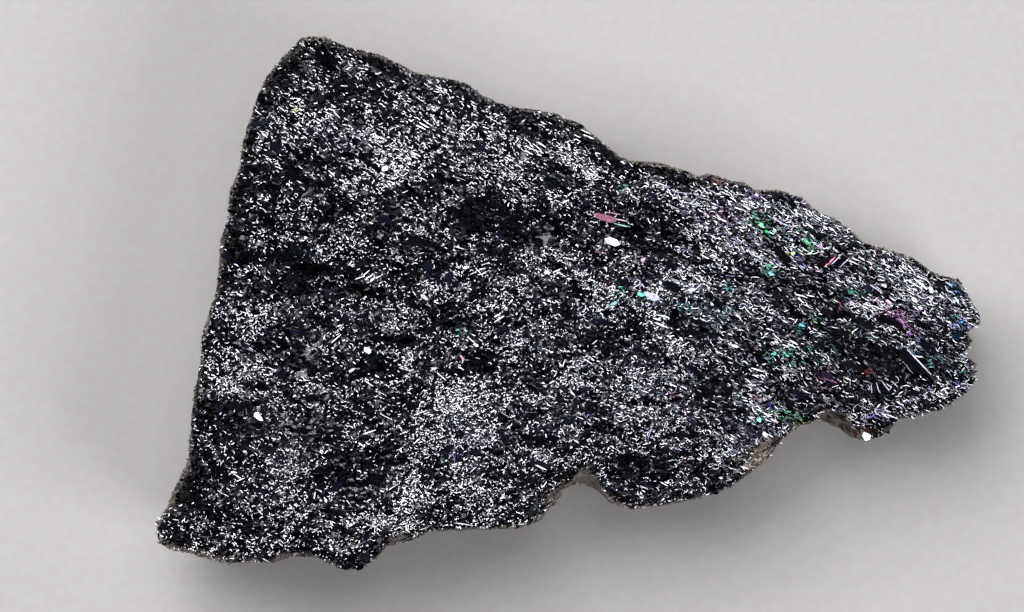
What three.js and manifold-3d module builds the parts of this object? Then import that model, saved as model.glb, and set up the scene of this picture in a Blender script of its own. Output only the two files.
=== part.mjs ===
// A hand specimen of furnace-grown silicon carbide: one lump of crystals grown together,
// broken off its crust, wide at the left and narrow at the right, lying on its back.
// Millimetres, +Z up. The origin is the centre of the bounding box, on the surface it lies on.

import * as THREE from 'three';
import { mergeVertices } from 'three/addons/utils/BufferGeometryUtils.js';
import Module from 'manifold-3d';

// ---------- driving dimensions ----------

const HEIGHT_AT_LEFT = 33; // crystal face above the rest, at the broad end
const HEIGHT_AT_RIGHT = 21; // the same at the narrow end
const HALF_LENGTH = 59.8; // of the outline, along X
const HALF_WIDTH = 38.4; // of the outline at the broad end, along Y
const RIM_DROP = 3.2; // how far the crystal face rounds down at its rim
const RIM_WIDTH = 3.4; // over what distance it does
const WALL_INSET = 0.3; // rim inside the widest outline, where nothing else is said
const FOOT_INSET = 5.5; // foot of the walls inside the widest outline
const FOOT_LIFT = 2.6; // the foot's height above the rest
const FLAT_SHARE = 0.66; // middle share of the underside that is the flat it rests on
const WIDEST_AT = 0.42; // share of the height at which the walls are widest
const WIDEST_WANDER = 0.3; // how far that share wanders round the lump
const WALL_LUMPS = 2; // depth of the lumps in the walls
const LUMP_SPAN = 5.5; // width of one of them
const INSET_FADE = 5; // power with which an inset of the walls fades towards the middle
const WALL_JITTER = 0.9; // how far single faces of the walls are set back

const LEDGE_COUNT = 9; // growth ledges across the broad end
const LEDGE_STEP = 1.3; // height of one ledge
const FACE_JITTER = 0.75; // how far crystal faces stand off the smooth form
const PLAN_JITTER = 0.6; // the same, sideways

const CELLS_LONG = 45; // faces along the lump
const CELLS_WIDE = 27; // faces across it
const CELLS_HIGH = 5; // rows of faces in its walls

const BLADE_COUNT = 36; // blades scattered over the crystal face
const BLADE_HEIGHT = 0.6; // how far they stand out of it
const BLADE_SHORTEST = 2; // least length of one of them, away from the narrow end
const BLADE_LONGEST = 4; // greatest length, before those at the narrow end are stretched
const CRYSTAL_ROOT = 2.2; // how deep every single crystal is rooted in the mass
const CRYSTAL_TAPER = 0.88; // width of its upper face against its lower one

// Layers of repeatable random numbers, one for each use, so that no two uses follow each other.
const LAYER = {
  lumps: 1, smallLumps: 2, ledgeWander: 3, ledgeRipple: 4, footRipple: 5, flatEdge: 6, wallLumps: 7,
  foot: 9, widest: 10, alongX: 20, alongY: 30, alongZ: 40, blades: 41, setBack: 50,
};

// The widest outline, seen from above, as four sides between four corners.
const CORNERS = {
  bottomLeft: [-59.2, -34.2],
  topLeft: [-38.6, 38.2],
  topRight: [56.6, 3.6],
  bottomRight: [54.6, -13.6],
};

const LEFT_SIDE = [
  [-59.7, -31.2], [-58.3, -29.4], [-57.6, -26.5], [-55.6, -22.5], [-55, -18.8], [-54.2, -13],
  [-53.3, -8], [-53.2, -4.5], [-51.4, 2.2], [-51, 9], [-49.8, 12], [-49.3, 16.2], [-47.8, 19],
  [-47.3, 22.5], [-45.4, 28.8], [-44.2, 31.8], [-41.8, 35],
];

const TOP_SIDE = [
  [-35, 38.4], [-32, 36.9], [-27.5, 35.9], [-24.6, 34.6], [-22.3, 33.3], [-18.5, 32.6], [-15, 31.8],
  [-12.6, 30.1], [-10, 28.9], [-5.5, 28.1], [-1.5, 27.4], [1.8, 25.9], [4.3, 23.8], [7, 21.5],
  [9, 20.7], [13, 20.4], [16, 19.6], [18.8, 18.4], [20.3, 18.9], [23.2, 17.9], [25.2, 17.7],
  [26.6, 16.6], [30.4, 16.6], [33.6, 15.5], [36, 13.4], [38.4, 12.5], [40.4, 11], [42.6, 9],
  [49.5, 6.9], [52.2, 4.9], [53.6, 4.2],
];

const RIGHT_SIDE = [
  [57.2, -12.8], [59.1, -11.2], [59.1, -8.6], [57.4, -7.1], [58.6, -5.6], [58, -3.9], [59.7, -2.8],
  [59.8, -1.8], [58.4, 0.6],
];

const BOTTOM_SIDE = [
  [-57.4, -35.4], [-54, -36.3], [-50, -37.3], [-42.5, -37.4], [-40.4, -36.6], [-36.5, -36.6],
  [-32.8, -38.5], [-30.3, -38.4], [-28.2, -37], [-26.7, -35.2], [-22.8, -34.2], [-20.3, -33],
  [-7.5, -32.7], [-4.5, -31.8], [-3.2, -29.9], [-2.2, -29.3], [-1, -27], [1.2, -26.1],
  [3.6, -27], [6, -29.2], [9, -30.1], [14, -29.4], [19, -28.4], [23, -27], [26, -25.1],
  [28.2, -22.3], [29.8, -20], [32.6, -18.8], [33.9, -17.8], [34.3, -16.9], [36.8, -17.1],
  [39.6, -18.4], [41.5, -19.8], [43.2, -20.1], [44.3, -18.2], [45.2, -17.2], [48.5, -16.9],
  [52.8, -15.6],
];

// Places where the wall leans out further past the rim: [x, y, reach, extra inset of the rim].
const WIDE_WALLS = [
  [28, -22, 4.5, 3.4],
  [-2.4, -29, 3, 3],
  [1.5, -26, 2.5, 1.6],
  [36, -17.5, 4, 1.2],
  [-51, 6, 9, 0.6],
  [-56, -24, 5, 0.6],
];

// Swells and hollows of the crystal face: [x, y, half length, half width, heading in degrees, height].
const SWELLS = [
  [-31, 24, 11, 4.5, -32, 1.6],
  [-26.4, 19.5, 3.5, 2.5, -20, 1.1],
  [-49, -10.5, 6, 4, 0, 1.4],
  [-16.9, -14.2, 6.5, 4.5, 12, 2],
  [-25.7, -30.4, 6, 4, 20, 1.2],
  [20, 12, 7, 2.5, -20, 1.2],
  [48, 2.5, 8, 3, -33, 1.5],
  [17.6, 2.6, 4, 2.6, 0, 1],
  [8, 1, 6, 2, -10, 1.1],
  [31, -7.5, 5, 2, -20, 1],
  [-44, -17, 4, 2, -40, 0.9],
  [-13.2, 12.9, 8, 2, -14, -2],
  [-5.1, 10.7, 5, 1.6, -12, -1.8],
  [6.8, 9.8, 4, 2.2, -12, -2],
  [-41.4, 4.8, 6, 2.2, -15, -1.6],
  [-29.3, -17.2, 5, 3, 0, -1.5],
  [41, -6.9, 7, 2.5, -35, -2],
  [-20.5, -23, 4, 3, 0, -1.6],
  [30.5, 11, 3.5, 1.2, -33, -1.8],
  [2, -13, 2.5, 1.5, 0, -1],
  [20, -15, 5, 2, -15, -1.2],
  [-28, -9, 4, 2, -30, -1.3],
  [10.5, -22.5, 3, 2, 60, -1.3],
  [-4, -21.5, 3.2, 1.8, -20, -1.6],
];

// Single crystals that stand out of the mass:
// [x, y, length, width, heading in degrees, dip in degrees, height of its face above the mass].
const CRYSTALS = [
  [5.1, 12.2, 4.4, 1.1, -17, 5, 0.8], // long striated blade in the upper hollow
  [49.2, -8.5, 6, 1.7, -49, 8, 1.2], // dark blade across the narrow end
  [43, -17.9, 3.6, 2.6, -75, 26, 0.2], // stub on the lower edge
  [36.9, 6.1, 2.4, 1.3, 42, 12, 0.9],
  [39.1, 6.1, 2.8, 0.8, 47, 14, 0.9],
  [37.1, -10.8, 2.6, 2.2, -20, 8, 0.6],
  [6.1, 8.8, 2.7, 1.2, -20, 8, 0.8],
  [11.5, 0.9, 3.4, 1.2, -15, 6, 0.8],
  [-44.8, -16.4, 2.6, 1.4, -42, 12, 0.8],
  [-47.8, -14.9, 2.6, 1.6, -4, 4, 0.7],
  [-26.7, 11.8, 3, 1.6, -8, 6, 0.7],
  [-42, 22, 2.6, 1.3, -40, 10, 0.8],
  [-4.2, -23.4, 4.2, 1.3, -14, 14, 1.1], // lip of the scooped hollow
  [27.6, -19.6, 2.6, 1.1, -60, 14, 0.7],
  [47.4, -3.2, 4, 1.1, -42, 8, 0.8],
  [55.4, 1.2, 3, 1.5, -50, 10, 0.6],
  [55.6, -9.4, 3, 1.6, 20, 10, 0.5],
];

// ---------- small numeric helpers ----------

const clamp = (value, low, high) => Math.min(Math.max(value, low), high);
const mix = (a, b, share) => a + (b - a) * share;
const ease = (low, high, value) => THREE.MathUtils.smoothstep(value, low, high);

// A repeatable number from -1 to 1 for a lattice point.
function hash(i, j, layer) {
  let h = Math.imul(i, 374761393) + Math.imul(j, 668265263) + Math.imul(layer, 1442695041);
  h = Math.imul(h ^ (h >>> 13), 1274126177);
  h ^= h >>> 16;
  return (h >>> 0) / 2147483648 - 1;
}

// Smooth value noise from -1 to 1, one unit of x and y between lattice points.
function noise(x, y, layer) {
  const i = Math.floor(x);
  const j = Math.floor(y);
  const across = ease(0, 1, x - i);
  const up = ease(0, 1, y - j);
  const low = mix(hash(i, j, layer), hash(i + 1, j, layer), across);
  const high = mix(hash(i, j + 1, layer), hash(i + 1, j + 1, layer), across);
  return mix(low, high, up);
}

// ---------- the outline as a patch ----------

// One side as a function of a share from 0 to 1 along X (axis 0) or Y (axis 1), which only grows.
function sideCurve(start, points, end, axis) {
  const knots = [start, ...points, end];
  return (share) => {
    const along = mix(start[axis], end[axis], share);
    let k = 0;
    while (k < knots.length - 2 && knots[k + 1][axis] < along) k += 1;
    const [a, b] = [knots[k], knots[k + 1]];
    const t = clamp((along - a[axis]) / (b[axis] - a[axis]), 0, 1);
    return new THREE.Vector2(mix(a[0], b[0], t), mix(a[1], b[1], t));
  };
}

const leftSide = sideCurve(CORNERS.bottomLeft, LEFT_SIDE, CORNERS.topLeft, 1);
const rightSide = sideCurve(CORNERS.bottomRight, RIGHT_SIDE, CORNERS.topRight, 1);
const topSide = sideCurve(CORNERS.topLeft, TOP_SIDE, CORNERS.topRight, 0);
const bottomSide = sideCurve(CORNERS.bottomLeft, BOTTOM_SIDE, CORNERS.bottomRight, 0);

// The plan: a patch stretched between the four sides. p and q run from -1 to 1.
function plan(p, q) {
  const u = (p + 1) / 2;
  const v = (q + 1) / 2;
  const low = new THREE.Vector2(...CORNERS.bottomLeft).lerp(new THREE.Vector2(...CORNERS.bottomRight), u);
  const high = new THREE.Vector2(...CORNERS.topLeft).lerp(new THREE.Vector2(...CORNERS.topRight), u);
  const acrossSides = leftSide(v).lerp(rightSide(v), u);
  const betweenSides = bottomSide(u).lerp(topSide(u), v);
  return acrossSides.add(betweenSides).sub(low.lerp(high, v));
}

const halfWidthAt = (p) => topSide((p + 1) / 2).distanceTo(bottomSide((p + 1) / 2)) / 2;

// ---------- the form ----------

// Direction of the crystals in degrees: down to the right at the top and the narrow end,
// level in the middle of the broad end and slightly up to the right below.
function flow(x, y) {
  const upper = ease(6, 20, y + 0.1 * x);
  const narrow = ease(8, 30, x);
  const lower = ease(14, 30, -y);
  return mix(mix(-3, 14, lower), -33, 1 - (1 - upper) * (1 - narrow));
}

function swell(x, y, [cx, cy, halfLength, halfWidth, heading, height]) {
  const angle = THREE.MathUtils.degToRad(heading);
  const along = ((x - cx) * Math.cos(angle) + (y - cy) * Math.sin(angle)) / halfLength;
  const across = ((y - cy) * Math.cos(angle) - (x - cx) * Math.sin(angle)) / halfWidth;
  return height * Math.exp(-(along ** 2 + across ** 2));
}

// Growth ledges: a row of steps across the lump that wander along it.
function ledges(p, q) {
  const wander = 0.7 * noise(p * 4, q * 2, LAYER.ledgeWander);
  const ripple = 0.3 * noise(p * 11, q * 5, LAYER.ledgeRipple);
  const line = (q * LEDGE_COUNT) / 2 + wander + ripple;
  const step = line - Math.floor(line);
  return LEDGE_STEP * (ease(0, 0.75, step) - ease(0.75, 1, step) - 0.4);
}

// Height of the crystal face above the rest.
function topHeight(p, q, x, y) {
  const rimDistance = Math.min((1 - Math.abs(p)) * HALF_LENGTH, (1 - Math.abs(q)) * halfWidthAt(p));
  const swells = SWELLS.reduce((sum, one) => sum + swell(x, y, one), 0);
  const broad = mix(HEIGHT_AT_LEFT, HEIGHT_AT_RIGHT, ease(-HALF_LENGTH, HALF_LENGTH, x));
  const lumps = 1.1 * noise(x / 13, y / 9, LAYER.lumps) + 0.7 * noise(x / 6, y / 4, LAYER.smallLumps);
  return broad + swells + lumps + ledges(p, q) - RIM_DROP * Math.exp(-rimDistance / RIM_WIDTH);
}

// Height of the underside: flat in the middle, rising to the foot of the walls.
function bottomHeight(p, q) {
  const outward = Math.max(Math.abs(p), Math.abs(q)) + 0.1 * noise(p * 5, q * 4, LAYER.flatEdge);
  return FOOT_LIFT * ease(FLAT_SHARE, 1, outward) * (1 + 0.4 * noise(p * 9, q * 6, LAYER.footRipple));
}

// How far the wall stands inside the widest outline at a share of its height. Its widest line
// wanders up and down, and the rim and the foot have insets of their own.
function wallInset(x, y, share, setBack) {
  const between = 4 * share * (1 - share);
  const height = share + WIDEST_WANDER * between * noise(x / 14, y / 14, LAYER.widest);
  const rim = WIDE_WALLS.reduce(
    (sum, [cx, cy, reach, extra]) => sum + extra * Math.exp(-(((x - cx) ** 2 + (y - cy) ** 2) / reach ** 2)),
    WALL_INSET,
  );
  const foot = FOOT_INSET * (1 + 0.5 * noise(x / 20, y / 20, LAYER.foot));
  const above = rim * clamp((height - WIDEST_AT) / (1 - WIDEST_AT), 0, 1);
  const below = foot * clamp((WIDEST_AT - height) / WIDEST_AT, 0, 1) ** 1.5;
  const slant = 9 * share;
  const lump = noise((x + slant) / LUMP_SPAN, (y - slant) / LUMP_SPAN, LAYER.wallLumps);
  const offWidest = clamp(4 * Math.abs(height - WIDEST_AT), 0, 1);
  return above + below + (WALL_LUMPS * Math.max(0, lump) + setBack) * between * offWidest;
}

// Carries a point of the box (p, q and share each at or inside its faces) to the lump. The inset
// of the walls fades out towards the middle.
function place(p, q, share, setBack) {
  const edge = plan(p, q);
  const inset = wallInset(edge.x, edge.y, share, setBack);
  const pIn = p * (1 - (inset / HALF_LENGTH) * Math.abs(p) ** INSET_FADE);
  const qIn = q * (1 - (inset / halfWidthAt(p)) * Math.abs(q) ** INSET_FADE);
  const { x, y } = plan(pIn, qIn);
  const z = mix(bottomHeight(p, q), topHeight(p, q, x, y), share);
  return new THREE.Vector3(x, y, z);
}

// ---------- the mass ----------

function crystalMass() {
  const box = new THREE.BoxGeometry(2, 2, 2, CELLS_LONG, CELLS_WIDE, CELLS_HIGH);
  box.deleteAttribute('normal');
  box.deleteAttribute('uv');
  const geometry = mergeVertices(box);
  const position = geometry.getAttribute('position');
  const corner = new THREE.Vector3();
  for (let k = 0; k < position.count; k += 1) {
    corner.fromBufferAttribute(position, k);
    const share = (corner.z + 1) / 2;
    const i = Math.round(corner.x * CELLS_LONG);
    const j = Math.round(corner.y * CELLS_WIDE);
    const row = Math.round(share * CELLS_HIGH);
    const setBack = WALL_JITTER * Math.abs(hash(i, j, LAYER.setBack + row));
    const point = place(corner.x, corner.y, share, setBack);
    const offWalls = 1 - Math.max(Math.abs(corner.x), Math.abs(corner.y)) ** 16;
    const room = halfWidthAt(corner.x) / HALF_WIDTH; // faces are narrower where the lump is
    point.x += PLAN_JITTER * offWalls * hash(i, j, LAYER.alongX + row);
    point.y += PLAN_JITTER * offWalls * room * hash(i, j, LAYER.alongY + row);
    point.z += FACE_JITTER * share * Math.sqrt(room) * hash(i, j, LAYER.alongZ + row);
    position.setXYZ(k, point.x, point.y, point.z);
  }
  return geometry;
}

// A six-sided tabular crystal, slightly narrower on its upper face, long along X.
function crystal(length, width, thickness) {
  const geometry = new THREE.CylinderGeometry(CRYSTAL_TAPER / 2, 1 / 2, 1, 6);
  geometry.deleteAttribute('normal');
  geometry.deleteAttribute('uv');
  geometry.rotateX(Math.PI / 2);
  geometry.rotateZ(Math.PI / 2);
  geometry.scale(length, width, thickness);
  return mergeVertices(geometry);
}

// Finds the patch coordinates of a point of the plan by repeated correction.
function patchAt(x, y) {
  let p = x / HALF_LENGTH;
  let q = 0;
  for (let round = 0; round < 40; round += 1) {
    const { x: px, y: py } = plan(p, q);
    p = clamp(p + (0.9 * (x - px)) / HALF_LENGTH, -1, 1);
    q = clamp(q + (0.9 * (y - py)) / halfWidthAt(p), -1, 1);
  }
  return [p, q];
}

function standCrystal([x, y, length, width, heading, dip, height]) {
  const [p, q] = patchAt(x, y);
  const geometry = crystal(length, width, CRYSTAL_ROOT + height);
  const turn = new THREE.Euler(
    0,
    THREE.MathUtils.degToRad(-dip),
    THREE.MathUtils.degToRad(heading),
    'ZYX',
  );
  const middle = new THREE.Vector3(x, y, topHeight(p, q, x, y) + (height - CRYSTAL_ROOT) / 2);
  const matrix = new THREE.Matrix4().makeRotationFromEuler(turn).setPosition(middle);
  return geometry.applyMatrix4(matrix);
}

// Blades that follow the flow, more of them and longer towards the narrow end.
function scatteredBlades() {
  const share = (k, use) => (1 + hash(k, use, LAYER.blades)) / 2;
  const blades = [];
  for (let k = 0; k < BLADE_COUNT; k += 1) {
    const towardsTip = 1 - share(k, 1) ** 1.5;
    const { x, y } = plan(mix(-0.92, 0.92, towardsTip), mix(-0.86, 0.86, share(k, 2)));
    const length = mix(BLADE_SHORTEST, BLADE_LONGEST, share(k, 3)) * mix(0.8, 1.15, towardsTip);
    const width = length * mix(0.3, 0.5, share(k, 4));
    const heading = flow(x, y) + mix(-22, 22, share(k, 5));
    const dip = mix(-16, 16, share(k, 6));
    blades.push([x, y, length, width, heading, dip, BLADE_HEIGHT]);
  }
  return blades;
}

// ---------- joining ----------

const wasm = await Module();
wasm.setup();

function toSolid(geometry) {
  return new wasm.Manifold(new wasm.Mesh({
    numProp: 3,
    vertProperties: new Float32Array(geometry.getAttribute('position').array),
    triVerts: new Uint32Array(geometry.getIndex().array),
  }));
}

function toGeometry(solid) {
  const mesh = solid.getMesh();
  const geometry = new THREE.BufferGeometry();
  geometry.setAttribute('position', new THREE.BufferAttribute(mesh.vertProperties, 3));
  geometry.setIndex(new THREE.BufferAttribute(mesh.triVerts, 1));
  return geometry;
}

const joined = [...CRYSTALS, ...scatteredBlades()].reduce(
  (solid, row) => solid.add(toSolid(standCrystal(row))),
  toSolid(crystalMass()),
);

const specimen = new THREE.Mesh(
  toGeometry(joined),
  new THREE.MeshStandardMaterial({ color: 0x35363c, roughness: 0.3, metalness: 0.2 }),
);
specimen.name = 'silicon_carbide_crystals';

const group = new THREE.Group();
group.add(specimen);

export default group;
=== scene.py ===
import math

import bpy
import numpy as np
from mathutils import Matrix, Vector


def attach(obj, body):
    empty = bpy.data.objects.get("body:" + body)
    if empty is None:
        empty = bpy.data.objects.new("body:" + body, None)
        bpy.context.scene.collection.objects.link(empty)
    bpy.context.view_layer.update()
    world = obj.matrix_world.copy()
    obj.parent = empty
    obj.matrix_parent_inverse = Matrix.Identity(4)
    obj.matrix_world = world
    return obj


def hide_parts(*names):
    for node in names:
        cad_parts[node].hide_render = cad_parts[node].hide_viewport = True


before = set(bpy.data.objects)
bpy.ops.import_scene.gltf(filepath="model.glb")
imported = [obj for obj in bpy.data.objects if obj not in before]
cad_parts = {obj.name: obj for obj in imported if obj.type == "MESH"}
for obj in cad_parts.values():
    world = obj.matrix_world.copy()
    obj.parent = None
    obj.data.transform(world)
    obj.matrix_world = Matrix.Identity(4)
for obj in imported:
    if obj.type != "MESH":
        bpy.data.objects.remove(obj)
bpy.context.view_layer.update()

# A hand specimen of silicon carbide: one lump of intergrown furnace crystals, lying on its flat.
# Sizes and places are in millimetres and are turned to metres as a mesh is written.

massNode = "silicon_carbide_crystals"
metre = 0.001  # one millimetre


# small helpers

def linear(code):  # sRGB hex to linear RGB
    parts = np.array([int(code[k:k + 2], 16) / 255 for k in (1, 3, 5)])
    return np.where(parts <= 0.04045, parts / 12.92, ((parts + 0.055) / 1.055) ** 2.4)


def mix(a, b, share):  # a at share 0, b at share 1, in proportion between
    return a + (b - a) * share


def ease(low, high, value):  # 0 below low, 1 above high, smooth between
    t = np.clip((value - low) / (high - low), 0, 1)
    return t * t * (3 - 2 * t)


def unit(v):  # a direction divided by its length
    return v / np.maximum(np.linalg.norm(v, axis=-1, keepdims=True), 1e-12)


def latticeNumber(i, j, layer):
    # a repeatable number from -1 to 1 for a lattice point: its whole numbers times three large
    # odd ones, added up and stirred twice within 32 bits
    word = 0xFFFFFFFF
    i, j, layer = (np.asarray(v, np.int64) for v in (i, j, layer))
    h = (i * 374761393 + j * 668265263 + layer * 1442695041) & word
    h = ((h ^ (h >> 13)) * 1274126177) & word
    h ^= h >> 16
    return h / 2147483648 - 1


def smoothNoise(x, y, layer):  # lattice numbers, blended between the four points around
    i, j = np.floor(x).astype(np.int64), np.floor(y).astype(np.int64)
    across, up = ease(0, 1, x - i), ease(0, 1, y - j)
    low = mix(latticeNumber(i, j, layer), latticeNumber(i + 1, j, layer), across)
    high = mix(latticeNumber(i, j + 1, layer), latticeNumber(i + 1, j + 1, layer), across)
    return mix(low, high, up)


def writePiece(name, places, faces, sizes, material):
    # a mesh of places in mm; faces is the vertex of each face corner, one face after another, and
    # sizes is how many corners each face has
    mesh = bpy.data.meshes.new(name)
    mesh.vertices.add(len(places))
    mesh.vertices.foreach_set("co", (places * metre).astype(np.float32).ravel())
    mesh.loops.add(len(faces))
    mesh.loops.foreach_set("vertex_index", faces.astype(np.int32))
    mesh.polygons.add(len(sizes))
    starts = np.cumsum(sizes) - sizes
    mesh.polygons.foreach_set("loop_start", starts.astype(np.int32))
    mesh.update(calc_edges=True)
    mesh.shade_flat()
    mesh.materials.append(material)
    piece = bpy.data.objects.new(name, mesh)
    bpy.context.scene.collection.objects.link(piece)
    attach(piece, "root")
    print(f"{name}: {int(np.sum(sizes - 2))} triangles")
    return piece


def writeColours(piece, name, values):  # one linear RGB for each vertex
    made = piece.data.color_attributes.new(name, "FLOAT_COLOR", "POINT")
    rgba = np.concatenate([values, np.ones((len(values), 1))], axis=1)
    made.data.foreach_set("color", rgba.astype(np.float32).ravel())


def writeNumbers(piece, name, values):  # one number for each vertex
    made = piece.data.attributes.new(name, "FLOAT", "POINT")
    made.data.foreach_set("value", values.astype(np.float32))


# the form of the lump: the surface that its solid has

form = {
    "heightLeft": 33, "heightRight": 21,  # crystal face above the rest, at either end
    "halfLength": 59.8, "halfWidth": 38.4,
    "rimDrop": 3.2, "rimWidth": 3.4,
    "rimInset": 0.3, "footInset": 5.5, "insetFade": 5, "footLift": 2.6, "flatShare": 0.66,
    "widestAt": 0.42, "widestWander": 0.3, "wallLumps": 2, "lumpSpan": 5.5, "wallJitter": 0.9,
    "widestSpan": 14, "footSpan": 20, "footWander": 0.5, "lumpSlant": 9,  # mm, mm, share, mm
    "ledgeCount": 9, "ledgeStep": 1.3, "ledgeRise": 0.75,  # mm; share of a ledge that rises
    "faceJitter": 0.75, "planJitter": 0.6,
    "lumps": (1.1, 13, 9), "smallLumps": (0.7, 6, 4),  # height, length in x and in y, all in mm
    # height, and how many there are to half the lump's length and width
    "ledgeWander": (0.7, 4, 2), "ledgeRipple": (0.3, 11, 5),
    "flatEdge": (0.1, 5, 4), "footRipple": (0.4, 9, 6),
    "facesLong": 45, "facesWide": 27, "facesHigh": 5,  # the solid's faces
    "crystalRoot": 2.2, "bladeCount": 36, "bladeHeight": 0.6, "bladeLength": (2, 4),
    "bladeWidth": (0.3, 0.5), "bladeGrowth": (0.8, 1.15),  # shares of the length; times, to the tip
    "bladeReach": (0.92, 0.86), "bladeTurn": 22, "bladeDip": 16,  # shares of the patch, degrees
}

layers = {
    "lumps": 1, "smallLumps": 2, "ledgeWander": 3, "ledgeRipple": 4, "footRipple": 5, "flatEdge": 6,
    "wallLumps": 7, "foot": 9, "widest": 10, "alongX": 20, "alongY": 30, "alongZ": 40, "blades": 41,
    "setBack": 50, "pits": 80, "stain": 81, "cast": 82, "haze": 83, "lay": 90,
}

corners = {
    "bottomLeft": (-59.2, -34.2), "topLeft": (-38.6, 38.2),
    "topRight": (56.6, 3.6), "bottomRight": (54.6, -13.6),
}

leftSide = [
    (-59.7, -31.2), (-58.3, -29.4), (-57.6, -26.5), (-55.6, -22.5), (-55, -18.8), (-54.2, -13),
    (-53.3, -8), (-53.2, -4.5), (-51.4, 2.2), (-51, 9), (-49.8, 12), (-49.3, 16.2), (-47.8, 19),
    (-47.3, 22.5), (-45.4, 28.8), (-44.2, 31.8), (-41.8, 35),
]

topSide = [
    (-35, 38.4), (-32, 36.9), (-27.5, 35.9), (-24.6, 34.6), (-22.3, 33.3), (-18.5, 32.6), (-15, 31.8),
    (-12.6, 30.1), (-10, 28.9), (-5.5, 28.1), (-1.5, 27.4), (1.8, 25.9), (4.3, 23.8), (7, 21.5),
    (9, 20.7), (13, 20.4), (16, 19.6), (18.8, 18.4), (20.3, 18.9), (23.2, 17.9), (25.2, 17.7),
    (26.6, 16.6), (30.4, 16.6), (33.6, 15.5), (36, 13.4), (38.4, 12.5), (40.4, 11), (42.6, 9),
    (49.5, 6.9), (52.2, 4.9), (53.6, 4.2),
]

rightSide = [
    (57.2, -12.8), (59.1, -11.2), (59.1, -8.6), (57.4, -7.1), (58.6, -5.6), (58, -3.9), (59.7, -2.8),
    (59.8, -1.8), (58.4, 0.6),
]

bottomSide = [
    (-57.4, -35.4), (-54, -36.3), (-50, -37.3), (-42.5, -37.4), (-40.4, -36.6), (-36.5, -36.6),
    (-32.8, -38.5), (-30.3, -38.4), (-28.2, -37), (-26.7, -35.2), (-22.8, -34.2), (-20.3, -33),
    (-7.5, -32.7), (-4.5, -31.8), (-3.2, -29.9), (-2.2, -29.3), (-1, -27), (1.2, -26.1),
    (3.6, -27), (6, -29.2), (9, -30.1), (14, -29.4), (19, -28.4), (23, -27), (26, -25.1),
    (28.2, -22.3), (29.8, -20), (32.6, -18.8), (33.9, -17.8), (34.3, -16.9), (36.8, -17.1),
    (39.6, -18.4), (41.5, -19.8), (43.2, -20.1), (44.3, -18.2), (45.2, -17.2), (48.5, -16.9),
    (52.8, -15.6),
]

# walls that lean out further past the rim: x, y, reach, extra inset of the rim
wideWalls = [
    (28, -22, 4.5, 3.4), (-2.4, -29, 3, 3), (1.5, -26, 2.5, 1.6), (36, -17.5, 4, 1.2),
    (-51, 6, 9, 0.6), (-56, -24, 5, 0.6),
]

# swells and hollows of the crystal face: x, y, half length, half width, heading, height
swells = [
    (-31, 24, 11, 4.5, -32, 1.6), (-26.4, 19.5, 3.5, 2.5, -20, 1.1), (-49, -10.5, 6, 4, 0, 1.4),
    (-16.9, -14.2, 6.5, 4.5, 12, 2), (-25.7, -30.4, 6, 4, 20, 1.2), (20, 12, 7, 2.5, -20, 1.2),
    (48, 2.5, 8, 3, -33, 1.5), (17.6, 2.6, 4, 2.6, 0, 1), (8, 1, 6, 2, -10, 1.1),
    (31, -7.5, 5, 2, -20, 1), (-44, -17, 4, 2, -40, 0.9), (-13.2, 12.9, 8, 2, -14, -2),
    (-5.1, 10.7, 5, 1.6, -12, -1.8), (6.8, 9.8, 4, 2.2, -12, -2), (-41.4, 4.8, 6, 2.2, -15, -1.6),
    (-29.3, -17.2, 5, 3, 0, -1.5), (41, -6.9, 7, 2.5, -35, -2), (-20.5, -23, 4, 3, 0, -1.6),
    (30.5, 11, 3.5, 1.2, -33, -1.8), (2, -13, 2.5, 1.5, 0, -1), (20, -15, 5, 2, -15, -1.2),
    (-28, -9, 4, 2, -30, -1.3), (10.5, -22.5, 3, 2, 60, -1.3), (-4, -21.5, 3.2, 1.8, -20, -1.6),
]

# single crystals: x, y, length, width, heading, dip, height of the upper face above the mass, look
# (a look is a colour, dull if it is dark and a heat tint if not, or "plain": untinted and lit)
crystals = [
    (5.1, 12.2, 4.4, 1.1, -17, 5, 0.8, "#a8707e"), (49.2, -8.5, 6, 1.7, -49, 8, 1.2, "#101114"),
    (43, -17.9, 3.6, 2.6, -75, 26, 0.2, "#33261f"), (36.9, 6.1, 2.4, 1.3, 42, 12, 0.9, "#1c1119"),
    (39.1, 6.1, 2.8, 0.8, 47, 14, 0.9, "#131219"), (37.1, -10.8, 2.6, 2.2, -20, 8, 0.6, "#2c2230"),
    (6.1, 8.8, 2.7, 1.2, -20, 8, 0.8, "plain"), (11.5, 0.9, 3.4, 1.2, -15, 6, 0.8, "#c4c6dc"),
    (-44.8, -16.4, 2.6, 1.4, -42, 12, 0.8, "#202129"), (-47.8, -14.9, 2.6, 1.6, -4, 4, 0.7, "#13131a"),
    (-26.7, 11.8, 3, 1.6, -8, 6, 0.7, "#191922"), (-42, 22, 2.6, 1.3, -40, 10, 0.8, "#17171f"),
    (-4.2, -23.4, 4.2, 1.3, -14, 14, 1.1, "#1c1d24"), (27.6, -19.6, 2.6, 1.1, -60, 14, 0.7, "#24232a"),
    (47.4, -3.2, 4, 1.1, -42, 8, 0.8, "#150f18"), (55.4, 1.2, 3, 1.5, -50, 10, 0.6, "#141c2a"),
    (55.6, -9.4, 3, 1.6, 20, 10, 0.5, "#15171e"),
]


def sideCurve(start, points, end, axis):
    # straight stretches between the points, by a share of the way along one axis
    knots = np.array([start, *points, end], float)

    def at(share):  # the points at these shares
        along = mix(start[axis], end[axis], share)
        other = np.interp(along, knots[:, axis], knots[:, 1 - axis])
        return np.stack([along, other] if axis == 0 else [other, along], axis=-1)
    return at


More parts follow.
